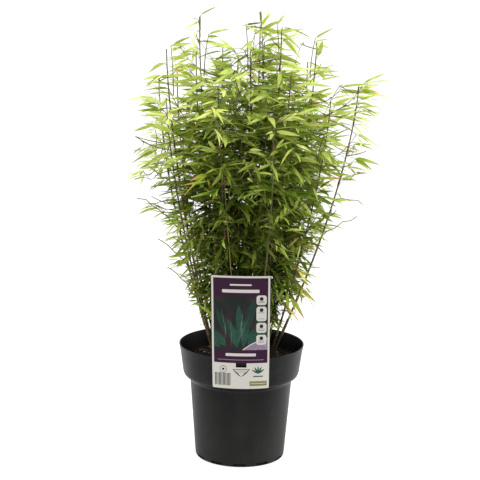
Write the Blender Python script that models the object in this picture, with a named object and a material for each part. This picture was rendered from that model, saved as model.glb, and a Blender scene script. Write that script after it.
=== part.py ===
"""A clump of fountain bamboo in a black nursery pot, one closed solid for each sub-part.

Metres, +Z up. The origin is in the middle of the pot's flat underside. +X runs across the
plant, and the plant label hangs on the -Y side of the rim. The pot, the potting mix and the
label are turned or bent shells. Each cane is one tapering limb from the mix to its tip. Each
mass of foliage is a side branch with twigs and leaves, joined into one body, that keeps to
its own cell of the crown.
"""

import math
import random

import bmesh
import bpy
import numpy as np
from mathutils import Matrix, Vector
from mathutils.bvhtree import BVHTree

# ---------------------------------------------------------------- driving dimensions

GAP = 0.0003  # clear space between two pieces that meet
NEARLY_NONE = 0.0001
UP = Vector((0.0, 0.0, 1.0))

# Pot: the outside of its wall, from the underside up to the flared lip
POT_HEIGHT = 0.185
LIP_RADIUS = 0.100
COLLAR_TOP_RADIUS = 0.0976
COLLAR_TOP_Z = POT_HEIGHT - 0.012
COLLAR_FOOT_RADIUS = 0.0930
COLLAR_FOOT_Z = 0.140
BODY_TOP_RADIUS = 0.0815
BODY_TOP_Z = 0.126
STEP_CURVE = ((0.20, 0.25), (0.85, 0.65))  # shares outwards and upwards between the two
BASE_RADIUS = 0.0715
BASE_EDGE = 0.0030
LIP_FLARE = 0.0035  # the lip's edge is upright over this height
LIP_EDGE = 0.0010
FLARE_START = (0.0008, 0.004)  # where the lip turns outwards, from the top of the collar
WALL = 0.0018
FLOOR = 0.0025
POT_SIDES = 36
DRAIN_NOTCHES = 12
NOTCH_WIDTH = 0.022
NOTCH_HEIGHT = 0.005
NOTCH_DEPTH = 0.010

# Potting mix
MIX_LEVEL = 0.159
MIX_BUMP = 0.0018
CLUMP_RADIUS = 0.046  # the canes rise inside this circle, where the mix is flat

# Canes
INNER_CANES = 14
INNER_REACH = 0.140  # how far the tips of those canes spread from the middle
INNER_TOP = 0.665
INNER_DROP = 0.085  # how much lower their tips are at that reach
CANE_BEND = 1.5  # 1 is a straight lean, and more turns the cane upright near its tip
SWAY = 0.009  # how far a cane bows to one side
CANE_FOOT_RADIUS = 0.0020
CANE_TIP_RADIUS = 0.0008
CANE_SIDES = 5
CANE_STEPS = 7
INTERNODE = 0.050
GOLDEN_ANGLE = math.radians(137.508)
# Canes that stand clear of the crown or arch out at its side: their tips, across, back and up
LEADER_TIPS = (
    (-0.074, 0.012, 0.700),
    (-0.122, -0.030, 0.652),
    (-0.138, 0.048, 0.606),
    (0.020, 0.020, 0.688),
    (0.052, -0.040, 0.680),
    (0.108, 0.012, 0.664),
    (0.172, -0.024, 0.600),
)

# Crown: how far the leaf tips reach to the left and to the right at each height
OUTLINE = (
    (0.215, 0.072, 0.080),
    (0.280, 0.112, 0.126),
    (0.360, 0.146, 0.158),
    (0.440, 0.203, 0.180),
    (0.500, 0.195, 0.208),
    (0.585, 0.188, 0.224),
    (0.625, 0.145, 0.172),
    (0.680, 0.105, 0.112),
    (0.716, 0.075, 0.080),
)
CROWN_DEPTH = 0.92  # front to back, as a share of the width

# Masses of foliage
MASSES = 36
MASS_SPACING = 0.060  # how far apart the centres of any two cells are, at least
LOWEST_BRANCH = 0.245
UPPER_FOLIAGE_Z = 0.5  # masses that end above this have the brighter leaves
STEM_LENGTH = 0.046
STEM_STEPS = 2
STEM_RADIUS = 0.0013
STEM_TIP_RADIUS = 0.0009
BRANCH_TURNS = (0.6, 1.4, 2.4)  # bearings tried for a side branch, away from straight outwards
CENTRE_SHARE = 0.5  # how far out along its stem a mass has the centre of its cell
END_ROOM = 0.2  # the crown goes on past a stem by at least this share of its length
TWIGS = 5
TWIG_REACH = 0.046  # how far from the stem's tip a twig may end
TWIG_RADIUS = 0.0008
SPOTS = 60  # places tried for twig ends, of which those furthest apart are kept
LEAF_LENGTH = 0.066
LEAF_WIDTH = 0.0135
LEAF_THICKNESS = 0.0013
LEAF_WIDEST = 0.38  # how far along a leaf is broadest, as a share of its length
LEAF_ARCH = 0.03  # how far its middle rises, as a share of its length
LEAF_SUNK = 0.0025  # how deep its root lies in the twig's end
FAN_TURNS = (0.0, 0.7, -0.7, 1.4)  # a twig ends in a fan of leaves, turned this far in radians
TOP_PITCH = math.radians(12)  # leaves rise at the top of the crown
FOOT_PITCH = math.radians(-38)  # and droop at its foot
PITCH_SPREAD = math.radians(20)
LEAF_ROLL = 0.45
LEAF_SHORTER = 0.45  # how much shorter a leaf may get where there is little room
TRIES = 12
CELL_MARGIN = 0.0006
LIMB_MARGIN = 0.0008
BLADE_START = 0.25  # leaves of one mass may cross only below this share of their length
SEED = 11

# Plant label
LABEL_WIDTH = 0.0915
LABEL_FOOT_Z = 0.139
LABEL_TOP_Z = 0.317
LABEL_THICKNESS = 0.0009
LABEL_FOOT_BEND = 0.120  # radius of its bend at its foot, where the collar holds it
LABEL_TOP_BEND = 0.250
LABEL_LEAN = -0.003  # how far across its top stands
LABEL_STEPS = 4
TONGUE_WIDTH = 0.020
TONGUE_DROP = 0.016
LABEL_CLEAR = 0.012  # leaves keep this far from the label

# Colours: base colour and roughness
FINISHES = {
    "pot_plastic": ((0.022, 0.022, 0.021), 0.42),
    "potting_mix": ((0.020, 0.016, 0.012), 0.95),
    "cane": ((0.090, 0.055, 0.050), 0.45),
    "foliage_upper": ((0.300, 0.430, 0.035), 0.50),
    "foliage_lower": ((0.130, 0.260, 0.025), 0.50),
    "label_card": ((0.800, 0.780, 0.740), 0.40),
}


# ---------------------------------------------------------------- helpers


def material(name):
    """The named finish as a Principled material, made once."""
    found = bpy.data.materials.get(name)
    if found:
        return found
    colour, roughness = FINISHES[name]
    made = bpy.data.materials.new(name)
    made.use_nodes = True
    shader = made.node_tree.nodes["Principled BSDF"]
    shader.inputs["Base Color"].default_value = (*colour, 1.0)
    shader.inputs["Roughness"].default_value = roughness
    shader.inputs["Metallic"].default_value = 0.0
    return made


def add_object(name, bm, finish, collection=None):
    """Puts a bmesh into the scene, or into a collection of its own, as one object."""
    bmesh.ops.recalc_face_normals(bm, faces=bm.faces)
    mesh = bpy.data.meshes.new(name)
    bm.to_mesh(mesh)
    bm.free()
    mesh.materials.append(material(finish))
    made = bpy.data.objects.new(name, mesh)
    (collection or bpy.context.scene.collection).objects.link(made)
    return made


def apply_modifiers(target):
    """Makes the evaluated mesh the object's own."""
    graph = bpy.context.evaluated_depsgraph_get()
    final = bpy.data.meshes.new_from_object(target.evaluated_get(graph))
    target.modifiers.clear()
    old = target.data
    target.data = final
    bpy.data.meshes.remove(old)


def remove_objects(objects):
    for item in list(objects):
        mesh = item.data
        bpy.data.objects.remove(item)
        bpy.data.meshes.remove(mesh)


def turned(profile, sides):
    """A solid of revolution about Z. The profile runs from axis to axis, as (radius, height)."""
    bm = bmesh.new()
    points = [bm.verts.new((radius, 0.0, height)) for radius, height in profile]
    edges = [bm.edges.new(pair) for pair in zip(points, points[1:])]
    bmesh.ops.spin(
        bm,
        geom=points + edges,
        cent=(0.0, 0.0, 0.0),
        axis=UP,
        angle=math.tau,
        steps=sides,
        use_merge=True,
    )
    bmesh.ops.remove_doubles(bm, verts=bm.verts, dist=NEARLY_NONE)
    return bm


def facing(direction, face=UP):
    """A turn whose Z runs along the direction and whose Y leans towards face."""
    z_axis = direction.normalized()
    x_axis = face.cross(z_axis)
    if x_axis.length < NEARLY_NONE:
        x_axis = Vector((0.0, 1.0, 0.0)).cross(z_axis)
    x_axis.normalize()
    return Matrix((x_axis, z_axis.cross(x_axis), z_axis)).transposed()


def limb(points, radii, sides, flat_foot=False):
    """A closed tapering limb along the points. A flat foot is cut level."""
    bm = bmesh.new()
    last = len(points) - 1
    below = None
    for index, (point, radius) in enumerate(zip(points, radii)):
        run = points[min(index + 1, last)] - points[max(index - 1, 0)]
        turn = facing(UP if flat_foot and index == 0 else run, Vector((0.0, 1.0, 0.0)))
        ring = bmesh.ops.create_circle(
            bm,
            segments=sides,
            radius=radius,
            cap_ends=index in (0, last),
            matrix=Matrix.Translation(point) @ turn.to_4x4(),
        )
        edges = list({edge for vert in ring["verts"] for edge in vert.link_edges})
        if below:
            bmesh.ops.bridge_loops(bm, edges=below + edges)
        below = edges
    return bm


def along(points, rise):
    """The point at a share of the way along evenly stepped points."""
    where = rise * (len(points) - 1)
    step = min(int(where), len(points) - 2)
    return points[step].lerp(points[step + 1], where - step)


# ---------------------------------------------------------------- pot, mix and label


def outer_wall():
    """(radius, height) up the outside of the pot, from the underside's edge to the lip."""
    collar = COLLAR_FOOT_RADIUS - BODY_TOP_RADIUS
    step = COLLAR_FOOT_Z - BODY_TOP_Z
    return [
        (BASE_RADIUS - BASE_EDGE, 0.0),
        (BASE_RADIUS, BASE_EDGE),
        (BODY_TOP_RADIUS, BODY_TOP_Z),
        *((BODY_TOP_RADIUS + out * collar, BODY_TOP_Z + up * step) for out, up in STEP_CURVE),
        (COLLAR_FOOT_RADIUS, COLLAR_FOOT_Z),
        (COLLAR_TOP_RADIUS, COLLAR_TOP_Z),
        (COLLAR_TOP_RADIUS + FLARE_START[0], COLLAR_TOP_Z + FLARE_START[1]),
        (LIP_RADIUS - LIP_EDGE, POT_HEIGHT - LIP_FLARE),
        (LIP_RADIUS, POT_HEIGHT - LIP_EDGE),
    ]


def inner_wall(clearance=0.0):
    """(radius, height) down the inside of the pot, from the lip to the floor."""
    inset = WALL + clearance
    floor_z = FLOOR + clearance
    return [
        (LIP_RADIUS - LIP_EDGE - inset, POT_HEIGHT - LIP_FLARE),
        (COLLAR_TOP_RADIUS - inset, COLLAR_TOP_Z),
        (COLLAR_FOOT_RADIUS - inset, COLLAR_FOOT_Z),
        (BODY_TOP_RADIUS - inset, BODY_TOP_Z),
        (BASE_RADIUS - inset, floor_z + BASE_EDGE),
        (BASE_RADIUS - inset - BASE_EDGE, floor_z),
    ]


def build_pot():
    """The shell, with feet left standing between the drain notches round its base."""
    lip = [(LIP_RADIUS - WALL / 3, POT_HEIGHT), (LIP_RADIUS - WALL, POT_HEIGHT - LIP_EDGE / 2)]
    profile = [(0.0, 0.0), *outer_wall(), *lip, *inner_wall(), (0.0, FLOOR)]
    pot = add_object("pot", turned(profile, POT_SIDES), "pot_plastic")
    cutters = bmesh.new()
    middle = BASE_RADIUS + BASE_EDGE - NOTCH_DEPTH / 2
    for index in range(DRAIN_NOTCHES):
        turn = Matrix.Rotation(math.tau * index / DRAIN_NOTCHES - math.pi / 2, 4, "Z")
        box = Matrix.Diagonal((NOTCH_DEPTH, NOTCH_WIDTH, 2 * NOTCH_HEIGHT, 1.0))
        place = turn @ Matrix.Translation((middle, 0.0, 0.0)) @ box
        bmesh.ops.create_cube(cutters, size=1.0, matrix=place)
    cutter = add_object("notch_cutter", cutters, "pot_plastic")
    cut = pot.modifiers.new("drain notches", "BOOLEAN")
    cut.operation = "DIFFERENCE"
    cut.object = cutter
    apply_modifiers(pot)
    remove_objects([cutter])
    return pot


def build_mix():
    """The potting mix: it fills the pot to MIX_LEVEL, flat where the canes stand."""
    fill = [(radius, height) for radius, height in inner_wall(GAP) if height < MIX_LEVEL]
    below, above = fill[0], inner_wall(GAP)[-len(fill) - 1]
    share = (MIX_LEVEL - below[1]) / (above[1] - below[1])
    edge = below[0] + share * (above[0] - below[0])
    flat = CLUMP_RADIUS + 2 * CANE_FOOT_RADIUS
    uneven = [flat + (edge - flat) * share for share in (0.4, 0.75)]
    top = [(radius, MIX_LEVEL) for radius in (0.0, flat, *uneven, edge)]
    bm = turned([*top, *fill, (0.0, FLOOR + GAP)], POT_SIDES // 2)
    chance = random.Random(SEED)
    for vert in bm.verts:
        across = math.hypot(vert.co.x, vert.co.y)
        if vert.co.z > MIX_LEVEL - GAP and uneven[0] - GAP < across < uneven[1] + GAP:
            vert.co.z += chance.uniform(-MIX_BUMP, MIX_BUMP)
    return add_object("potting_mix", bm, "potting_mix")


def bent_card(flat):
    """Where a point of the flat card goes: across it, out in front of its back, and up."""
    share = (flat.z - LABEL_FOOT_Z) / (LABEL_TOP_Z - LABEL_FOOT_Z)
    slip = LABEL_LEAN * share
    if flat.y > 0.0:  # the tongue, behind the card, stays straight
        return Vector((flat.x + slip, flat.y - LIP_RADIUS - GAP, flat.z))
    bend = LABEL_FOOT_BEND + (LABEL_TOP_BEND - LABEL_FOOT_BEND) * share
    turn, radius = flat.x / bend, bend - flat.y
    axis_y = bend - LIP_RADIUS - GAP
    return Vector((radius * math.sin(turn) + slip, axis_y - radius * math.cos(turn), flat.z))


def build_label():
    """A printed card, made flat and then bent a little. Its tongue hooks over the lip."""
    bm = bmesh.new()
    run = (LABEL_WIDTH - TONGUE_WIDTH) / 2 / LABEL_STEPS
    side = [TONGUE_WIDTH / 2 + run * step for step in range(LABEL_STEPS + 1)]
    columns = [-across for across in reversed(side)] + side
    fold_z = POT_HEIGHT + GAP

    # The back of the card: its lower edge, pulled up row by row
    foot = [bm.verts.new((across, 0.0, LABEL_FOOT_Z)) for across in columns]
    edges = [bm.edges.new(pair) for pair in zip(foot, foot[1:])]
    for height in (fold_z, fold_z + LABEL_THICKNESS, LABEL_TOP_Z):
        pulled = bmesh.ops.extrude_edge_only(bm, edges=edges)["geom"]
        top = {item for item in pulled if isinstance(item, bmesh.types.BMVert)}
        edges = [edge for edge in bm.edges if set(edge.verts) <= top]
        for vert in top:
            vert.co.z = height

    # Its thickness, outwards
    solid = bmesh.ops.extrude_face_region(bm, geom=list(bm.faces), use_keep_orig=True)["geom"]
    for vert in [item for item in solid if isinstance(item, bmesh.types.BMVert)]:
        vert.co.y = -LABEL_THICKNESS

    # The tongue: back over the lip, then down inside it
    inside_lip = LIP_RADIUS + GAP - COLLAR_FOOT_RADIUS + WALL
    end = nearest_face(bm, Vector((0.0, 0.0, fold_z + LABEL_THICKNESS / 2)))
    for reach in (inside_lip, inside_lip + LABEL_THICKNESS):
        end = pull_face(bm, end, axis=1, place=reach)
    under = nearest_face(bm, Vector((0.0, inside_lip + LABEL_THICKNESS / 2, fold_z)))
    pull_face(bm, under, axis=2, place=POT_HEIGHT - TONGUE_DROP)

    for vert in bm.verts:
        vert.co = bent_card(vert.co)
    return add_object("label", bm, "label_card")


def nearest_face(bm, point):
    return min(bm.faces, key=lambda face: (face.calc_center_median() - point).length)


def pull_face(bm, face, axis, place):
    """Extrudes a face and sets one coordinate of its far end. Returns that end."""
    pulled = bmesh.ops.extrude_discrete_faces(bm, faces=[face])["faces"][0]
    for vert in pulled.verts:
        vert.co[axis] = place
    return pulled


# ---------------------------------------------------------------- canes


def cane_tips():
    """Where every cane ends: the leaders, then the inner canes on a golden-angle spiral."""
    tips = [Vector(tip) for tip in LEADER_TIPS]
    chance = random.Random(SEED)
    for index in range(INNER_CANES):
        share = math.sqrt((index + 0.5) / INNER_CANES)
        angle = index * GOLDEN_ANGLE + chance.uniform(-0.15, 0.15)
        height = INNER_TOP - INNER_DROP * share**2 + chance.uniform(-0.018, 0.018)
        reach = INNER_REACH * share
        tips.append(Vector((reach * math.cos(angle), reach * math.sin(angle), height)))
    return tips


def cane_points(tip, chance):
    """The middle line of a cane: it leans out from its foot and turns upright near its tip."""
    spread = math.hypot(tip.x, tip.y)
    foot_radius = CLUMP_RADIUS * min(1.0, spread / INNER_REACH) ** 0.8
    foot = Vector((tip.x, tip.y, 0.0)) * foot_radius / spread
    foot.z = MIX_LEVEL + GAP
    sideways = Vector((-tip.y, tip.x, 0.0)).normalized() * chance.uniform(-SWAY, SWAY)
    points = []
    for step in range(CANE_STEPS + 1):
        rise = step / CANE_STEPS
        point = foot.lerp(tip, 1.0 - (1.0 - rise) ** CANE_BEND)
        point += sideways * math.sin(math.pi * rise)
        point.z = foot.z + (tip.z - foot.z) * rise
        points.append(point)
    return points


def cane_radius(rise):
    return CANE_FOOT_RADIUS + (CANE_TIP_RADIUS - CANE_FOOT_RADIUS) * rise


def cane_mesh(points, swell=0.0):
    last = len(points) - 1
    radii = [cane_radius(index / last) + swell for index in range(last + 1)]
    return limb(points, radii, CANE_SIDES, flat_foot=True)


def build_canes():
    """Every cane as its own object. Returns their middle lines."""
    chance = random.Random(SEED)
    lines = [cane_points(tip, chance) for tip in cane_tips()]
    for number, points in enumerate(lines, start=1):
        add_object(f"cane_{number:02d}", cane_mesh(points), "cane")
    return lines


# ---------------------------------------------------------------- foliage


def inside_crown(point):
    """Whether a point lies within the outline, which is an ellipse at each height."""
    heights, lefts, rights = zip(*OUTLINE)
    if not heights[0] < point.z < heights[-1]:
        return False
    left, right = np.interp(point.z, heights, lefts), np.interp(point.z, heights, rights)
    across = right if point.x > 0.0 else left
    depth = CROWN_DEPTH * (left + right) / 2
    return (point.x / across) ** 2 + (point.y / depth) ** 2 < 1.0


def near_label(point):
    half = LABEL_WIDTH / 2 + LABEL_CLEAR
    in_front = point.y < -LIP_RADIUS + LABEL_CLEAR
    return abs(point.x) < half and in_front and point.z < LABEL_TOP_Z + LABEL_CLEAR


def grow_stem(points, rise, bearing, chance):
    """The side branch of a mass: square out from its cane, then bending upwards.

    Its first point stands clear of the cane.
    """
    seat = along(points, rise)
    run = (along(points, min(1.0, rise + 0.02)) - along(points, rise - 0.02)).normalized()
    direction = (bearing - run * bearing.dot(run)).normalized()
    rising = (direction + UP * chance.uniform(0.2, 0.9)).normalized()
    stem = [seat + direction * (cane_radius(rise) + GAP)]
    for step in range(1, STEM_STEPS + 1):
        heading = direction.lerp(rising, step / STEM_STEPS).normalized()
        stem.append(stem[-1] + heading * STEM_LENGTH / STEM_STEPS)
    return stem


def stem_fits(stem, limbs):
    """Whether a stem ends well inside the crown and passes clear of the other canes."""
    if not inside_crown(stem[-1] + (stem[-1] - stem[0]) * END_ROOM) or near_label(stem[-1]):
        return False
    clear_of_own = stem[0].lerp(stem[1], 0.3)
    trial = limb([clear_of_own, *stem[1:]], [STEM_RADIUS] * len(stem), 3)
    hits = BVHTree.FromBMesh(trial).overlap(limbs)
    trial.free()
    return not hits


def plan_masses(canes, limbs):
    """The stem of every mass and the centre of its cell, spread evenly through the crown.

    Each leader carries one near its tip. Each of the others is the side branch whose growth
    stands furthest from those chosen already.
    """
    chance = random.Random(SEED)
    chosen, waiting = [], []
    for number, points in enumerate(canes):
        length = sum((b - a).length for a, b in zip(points, points[1:]))
        nodes = int(length / INTERNODE)
        side = chance.choice((-1.0, 1.0))
        for node in range(1, nodes + 1):
            rise = node * INTERNODE / length
            seat = along(points, rise)
            side = -side
            outward = Vector((seat.x, seat.y, 0.0)).normalized()
            for turn in BRANCH_TURNS:
                turn = side * (turn + chance.uniform(-0.3, 0.3))
                bearing = Matrix.Rotation(turn, 3, "Z") @ outward
                stem = grow_stem(points, rise, bearing, chance)
                if seat.z > LOWEST_BRANCH and stem_fits(stem, limbs):
                    centre = stem[0].lerp(stem[-1], CENTRE_SHARE)
                    apart = all((centre - other[1]).length > MASS_SPACING for other in chosen)
                    topmost = node == nodes and number < len(LEADER_TIPS)
                    (chosen if topmost and apart else waiting).append((stem, centre))
                    break
    while len(chosen) < MASSES:
        room = [min((place[1] - other[1]).length for other in chosen) for place in waiting]
        chosen.append(waiting.pop(room.index(max(room))))
    return chosen


class Room:
    """The space that one mass may use: its cell, inside the crown and clear of every limb."""

    def __init__(self, centre, others, limbs):
        self.walls = [((other + centre) / 2, (other - centre).normalized()) for other in others]
        self.limbs = limbs
        self.blades = []

    def reaches(self, point):
        if not inside_crown(point) or near_label(point):
            return False
        return all((point - middle).dot(away) < -CELL_MARGIN for middle, away in self.walls)

    def holds(self, bm):
        """Whether a piece lies within the cell and touches no limb."""
        if not all(self.reaches(vert.co) for vert in bm.verts):
            return False
        return not BVHTree.FromBMesh(bm).overlap(self.limbs)

    def takes_blade(self, bm):
        """Whether a leaf's blade crosses no other here. If so, it is noted."""
        shape = BVHTree.FromBMesh(bm)
        if any(shape.overlap(other) for other in self.blades):
            return False
        self.blades.append(shape)
        return True


def leaf_mesh(place, start=0.0):
    """A leaf along +Z of place, its flat face towards +Y and its keel below: 6 faces.

    It is pointed at both ends and begins at the share start of its length.
    """
    bm = bmesh.new()
    bmesh.ops.create_uvsphere(bm, u_segments=3, v_segments=2, radius=1.0)
    bmesh.ops.rotate(bm, verts=bm.verts, matrix=Matrix.Rotation(math.pi, 3, "Z"))
    for vert in bm.verts:
        if abs(vert.co.z) < 0.1:
            keel = vert.co.y < -0.9
            vert.co.x = 0.0 if keel else math.copysign(LEAF_WIDTH / LEAF_LENGTH / 2, vert.co.x)
            vert.co.y = LEAF_ARCH - (LEAF_THICKNESS / LEAF_LENGTH if keel else 0.0)
            vert.co.z = LEAF_WIDEST
        else:
            vert.co = (0.0, 0.0, 1.0 if vert.co.z > 0.0 else start)
    bmesh.ops.transform(bm, matrix=place, verts=bm.verts)
    return bm


def twig_ends(room, stem, chance):
    """The stem's own tip, and the places in the cell that lie furthest apart from it."""
    ends, spots = [stem[-1]], []
    for _ in range(SPOTS):
        offset = Vector([chance.gauss(0.0, 1.0) for _ in range(3)]).normalized()
        spot = stem[-1] + offset * TWIG_REACH * chance.uniform(0.35, 1.0)
        if room.reaches(spot):
            spots.append(spot)
    while spots and len(ends) < TWIGS:
        apart = [min((spot - end).length for end in ends) for spot in spots]
        ends.append(spots.pop(apart.index(max(apart))))
    return ends


def grow_leaf(room, root, heading, turn, chance):
    """One leaf of the fan at a twig's end, at the first slant that has room, or None."""
    level = Vector((heading.x, heading.y, 0.0)).normalized()
    slant = np.interp(root.z, (OUTLINE[0][0], OUTLINE[-1][0]), (FOOT_PITCH, TOP_PITCH))
    for attempt in range(TRIES):
        loose = attempt / TRIES
        yaw = turn + chance.gauss(0.0, 0.2 + loose)
        pitch = slant + chance.gauss(0.0, PITCH_SPREAD * (1.0 + loose))
        length = LEAF_LENGTH * chance.uniform(0.8, 1.1) * (1.0 - LEAF_SHORTER * loose)
        course = Matrix.Rotation(yaw, 3, "Z") @ level * math.cos(pitch) + UP * math.sin(pitch)
        face = UP + Vector((chance.gauss(0.0, LEAF_ROLL), chance.gauss(0.0, LEAF_ROLL), 0.0))
        turned_to = facing(course, face).to_4x4()
        place = Matrix.Translation(root) @ turned_to @ Matrix.Scale(length, 4)
        leaf, blade = leaf_mesh(place), leaf_mesh(place, BLADE_START)
        fits = room.holds(leaf) and room.takes_blade(blade)
        blade.free()
        if fits:
            return leaf
        leaf.free()
    return None


def grow_mass(number, stem, room):
    """One mass: a stem, twigs that spread through its cell, and a fan of leaves on each."""
    chance = random.Random(SEED + number)
    taper = (STEM_TIP_RADIUS - STEM_RADIUS) / STEM_STEPS
    radii = [STEM_RADIUS + taper * step for step in range(STEM_STEPS + 1)]
    finish = "foliage_upper" if stem[-1].z > UPPER_FOLIAGE_Z else "foliage_lower"
    name = f"foliage_{number:02d}"
    body = add_object(name, limb(stem, radii, 3), finish)

    parts = bpy.data.collections.new(name)
    bpy.context.scene.collection.children.link(parts)
    for end in twig_ends(room, stem, chance):
        share = max(0.3, 1.0 - (end - stem[-1]).length / STEM_LENGTH)
        root = along(stem, share) if end is not stem[-1] else stem[-2]
        twig = limb([root, end], [TWIG_RADIUS, TWIG_RADIUS * 0.8], 3)
        if not room.holds(twig):
            twig.free()
            continue
        add_object("twig", twig, finish, parts)
        run = (end - root).normalized()
        heading = (run + (end - stem[0]).normalized()).normalized()
        for turn in FAN_TURNS:
            leaf = grow_leaf(room, end - run * LEAF_SUNK, heading, turn, chance)
            if leaf:
                add_object("leaf", leaf, finish, parts)
    join = body.modifiers.new("twigs and leaves", "BOOLEAN")
    join.operation = "UNION"
    join.operand_type = "COLLECTION"
    join.collection = parts
    join.solver = "MANIFOLD"  # EXACT leaves a mass or two open
    apply_modifiers(body)
    remove_objects(parts.objects)
    bpy.data.collections.remove(parts)


def build_foliage(canes):
    """Every mass of foliage, each in the cell of the crown that is nearest to its centre."""
    swollen = bmesh.new()
    for points in canes:
        cane = cane_mesh(points, LIMB_MARGIN)
        copy = bpy.data.meshes.new("swollen_cane")
        cane.to_mesh(copy)
        cane.free()
        swollen.from_mesh(copy)
        bpy.data.meshes.remove(copy)
    limbs = BVHTree.FromBMesh(swollen)
    swollen.free()
    masses = plan_masses(canes, limbs)
    for number, (stem, centre) in enumerate(masses, start=1):
        others = [other for _, other in masses if other is not centre]
        grow_mass(number, stem, Room(centre, others, limbs))


def main():
    for item in list(bpy.data.objects):
        bpy.data.objects.remove(item)
    build_pot()
    build_mix()
    build_label()
    canes = build_canes()
    build_foliage(canes)


main()
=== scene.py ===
# %% [markdown]
# # The looks of a potted bamboo
#
# The imported model holds the plant's working shape: a pot, its potting mix, a label card, the
# canes, and masses of foliage made of a few large leaves. Here each of them gets the piece that
# is seen: a smooth moulded pot, a crumbly bed, a printed card, ringed canes and thousands of
# narrow leaves. Everything is in metres, with +Z up and the origin under the pot, so a piece is
# made where it stands and never has to be fitted.

# %% Load the imported solids
import math
import random

import bmesh
import bpy
import numpy as np
from mathutils import Matrix, Vector, noise
from mathutils.bvhtree import BVHTree


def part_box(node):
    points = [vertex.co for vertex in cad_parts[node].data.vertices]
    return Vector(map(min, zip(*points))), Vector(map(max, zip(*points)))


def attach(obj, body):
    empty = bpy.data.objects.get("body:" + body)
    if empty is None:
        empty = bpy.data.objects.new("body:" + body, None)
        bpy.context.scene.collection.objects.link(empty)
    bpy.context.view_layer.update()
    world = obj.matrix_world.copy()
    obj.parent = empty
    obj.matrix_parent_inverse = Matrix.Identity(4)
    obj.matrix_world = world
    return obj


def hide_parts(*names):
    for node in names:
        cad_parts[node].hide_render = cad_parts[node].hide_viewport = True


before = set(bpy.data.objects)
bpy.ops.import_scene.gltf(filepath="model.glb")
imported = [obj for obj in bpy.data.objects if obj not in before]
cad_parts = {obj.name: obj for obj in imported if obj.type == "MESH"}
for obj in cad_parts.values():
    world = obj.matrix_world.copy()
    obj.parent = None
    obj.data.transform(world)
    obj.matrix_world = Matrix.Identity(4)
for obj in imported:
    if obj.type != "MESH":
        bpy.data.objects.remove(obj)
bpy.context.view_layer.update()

# %% [markdown]
# ## Camera
#
# The plant is seen as in a grower's catalogue: from more than two metres away and a little above
# the middle, so that the rim of the pot is a shallow ellipse and the canes don't lean apart. A
# long lens could be set by its focal length in millimetres. Here the field of view is worked out
# from the focal length in pixels, because that is what a fit to the pot's ellipses gives.

# %% Place the camera
IMAGE_SIDE = 480
FOCAL_PIXELS = 1420.0
CAMERA_AWAY = 2.2
CAMERA_HEIGHT = 0.797
CAMERA_DOWN = math.radians(11.42)
CAMERA_ROLL = math.radians(1.04)
SIDE_SHIFT = -3.4 / IMAGE_SIDE

lens = bpy.data.cameras.new("studio_camera")
lens.angle = 2 * math.atan(IMAGE_SIDE / 2 / FOCAL_PIXELS)
lens.shift_x = SIDE_SHIFT
camera = bpy.data.objects.new("studio_camera", lens)
camera.matrix_world = (
    Matrix.Translation((0.0, -CAMERA_AWAY, CAMERA_HEIGHT))
    @ Matrix.Rotation(math.pi / 2 - CAMERA_DOWN, 4, "X")
    @ Matrix.Rotation(CAMERA_ROLL, 4, "Z")
)
bpy.context.scene.collection.objects.link(camera)
bpy.context.scene.camera = camera
print("field of view:", round(math.degrees(lens.angle), 2), "degrees")

# %% [markdown]
# ## Light
#
# A catalogue plant stands on a white light table between two softboxes, with two above it.
# White light from every side keeps the leaves bright, and the boxes give the black pot the two
# upright gleams that show how round it is. One sun lamp would be simpler, but its hard shadows
# would hide the middle of the crown. Colours are shown as they are, with no film curve, because
# a film curve would grey the white table.

# %% Sky and softboxes
SKY_STRENGTH = 1.06
LAMPS = {  # where each stands, its width and height, and its power in watts
    "right_softbox": ((1.7, 0.25, 0.8), (0.6, 1.7), 33.0),
    "left_softbox": ((-1.8, 0.2, 0.8), (0.6, 1.7), 10.0),
    "top_softbox": ((0.0, -0.1, 2.3), (1.2, 1.2), 12.0),
    "high_left_softbox": ((-1.4, -0.3, 1.9), (0.8, 0.8), 9.0),
}
LIT_POINT = Vector((0.0, 0.0, 0.4))


def add_softbox(name, place, size, power):
    """An area lamp that faces the middle of the plant."""
    lamp = bpy.data.lights.new(name, "AREA")
    lamp.shape = "RECTANGLE"
    lamp.size, lamp.size_y = size
    lamp.energy = power
    box = bpy.data.objects.new(name, lamp)
    facing_plant = (LIT_POINT - Vector(place)).to_track_quat("-Z", "Y").to_matrix().to_4x4()
    box.matrix_world = Matrix.Translation(place) @ facing_plant
    bpy.context.scene.collection.objects.link(box)


for name, (place, size, power) in LAMPS.items():
    add_softbox(name, place, size, power)

sky = bpy.data.worlds.new("studio_sky")
sky.use_nodes = True
sky.node_tree.nodes["Background"].inputs["Color"].default_value = (1.0, 1.0, 1.0, 1.0)
sky.node_tree.nodes["Background"].inputs["Strength"].default_value = SKY_STRENGTH
bpy.context.scene.world = sky
bpy.context.scene.view_settings.view_transform = "Standard"
print("lamps:", ", ".join(LAMPS))

# %% [markdown]
# ## Tools for finishes
#
# A finish here is a Principled material whose colour, roughness and relief come from procedural
# nodes. Image textures would need files and an unwrapped mesh, and noise in the object's own
# space needs neither. Most of these nodes are used many times over, so one helper places a node
# and fills its sockets, and effects that several finishes share are node groups with named
# sockets.

# %% Helpers that place nodes


def put(tree, kind, inputs=None, **settings):
    """Adds a node. A value is set on its socket, and a socket is linked to it."""
    node = tree.nodes.new(kind)
    for key, value in settings.items():
        setattr(node, key, value)
    for key, value in (inputs or {}).items():
        if isinstance(value, bpy.types.NodeSocket):
            tree.links.new(value, node.inputs[key])
        else:
            node.inputs[key].default_value = value
    return node


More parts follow.
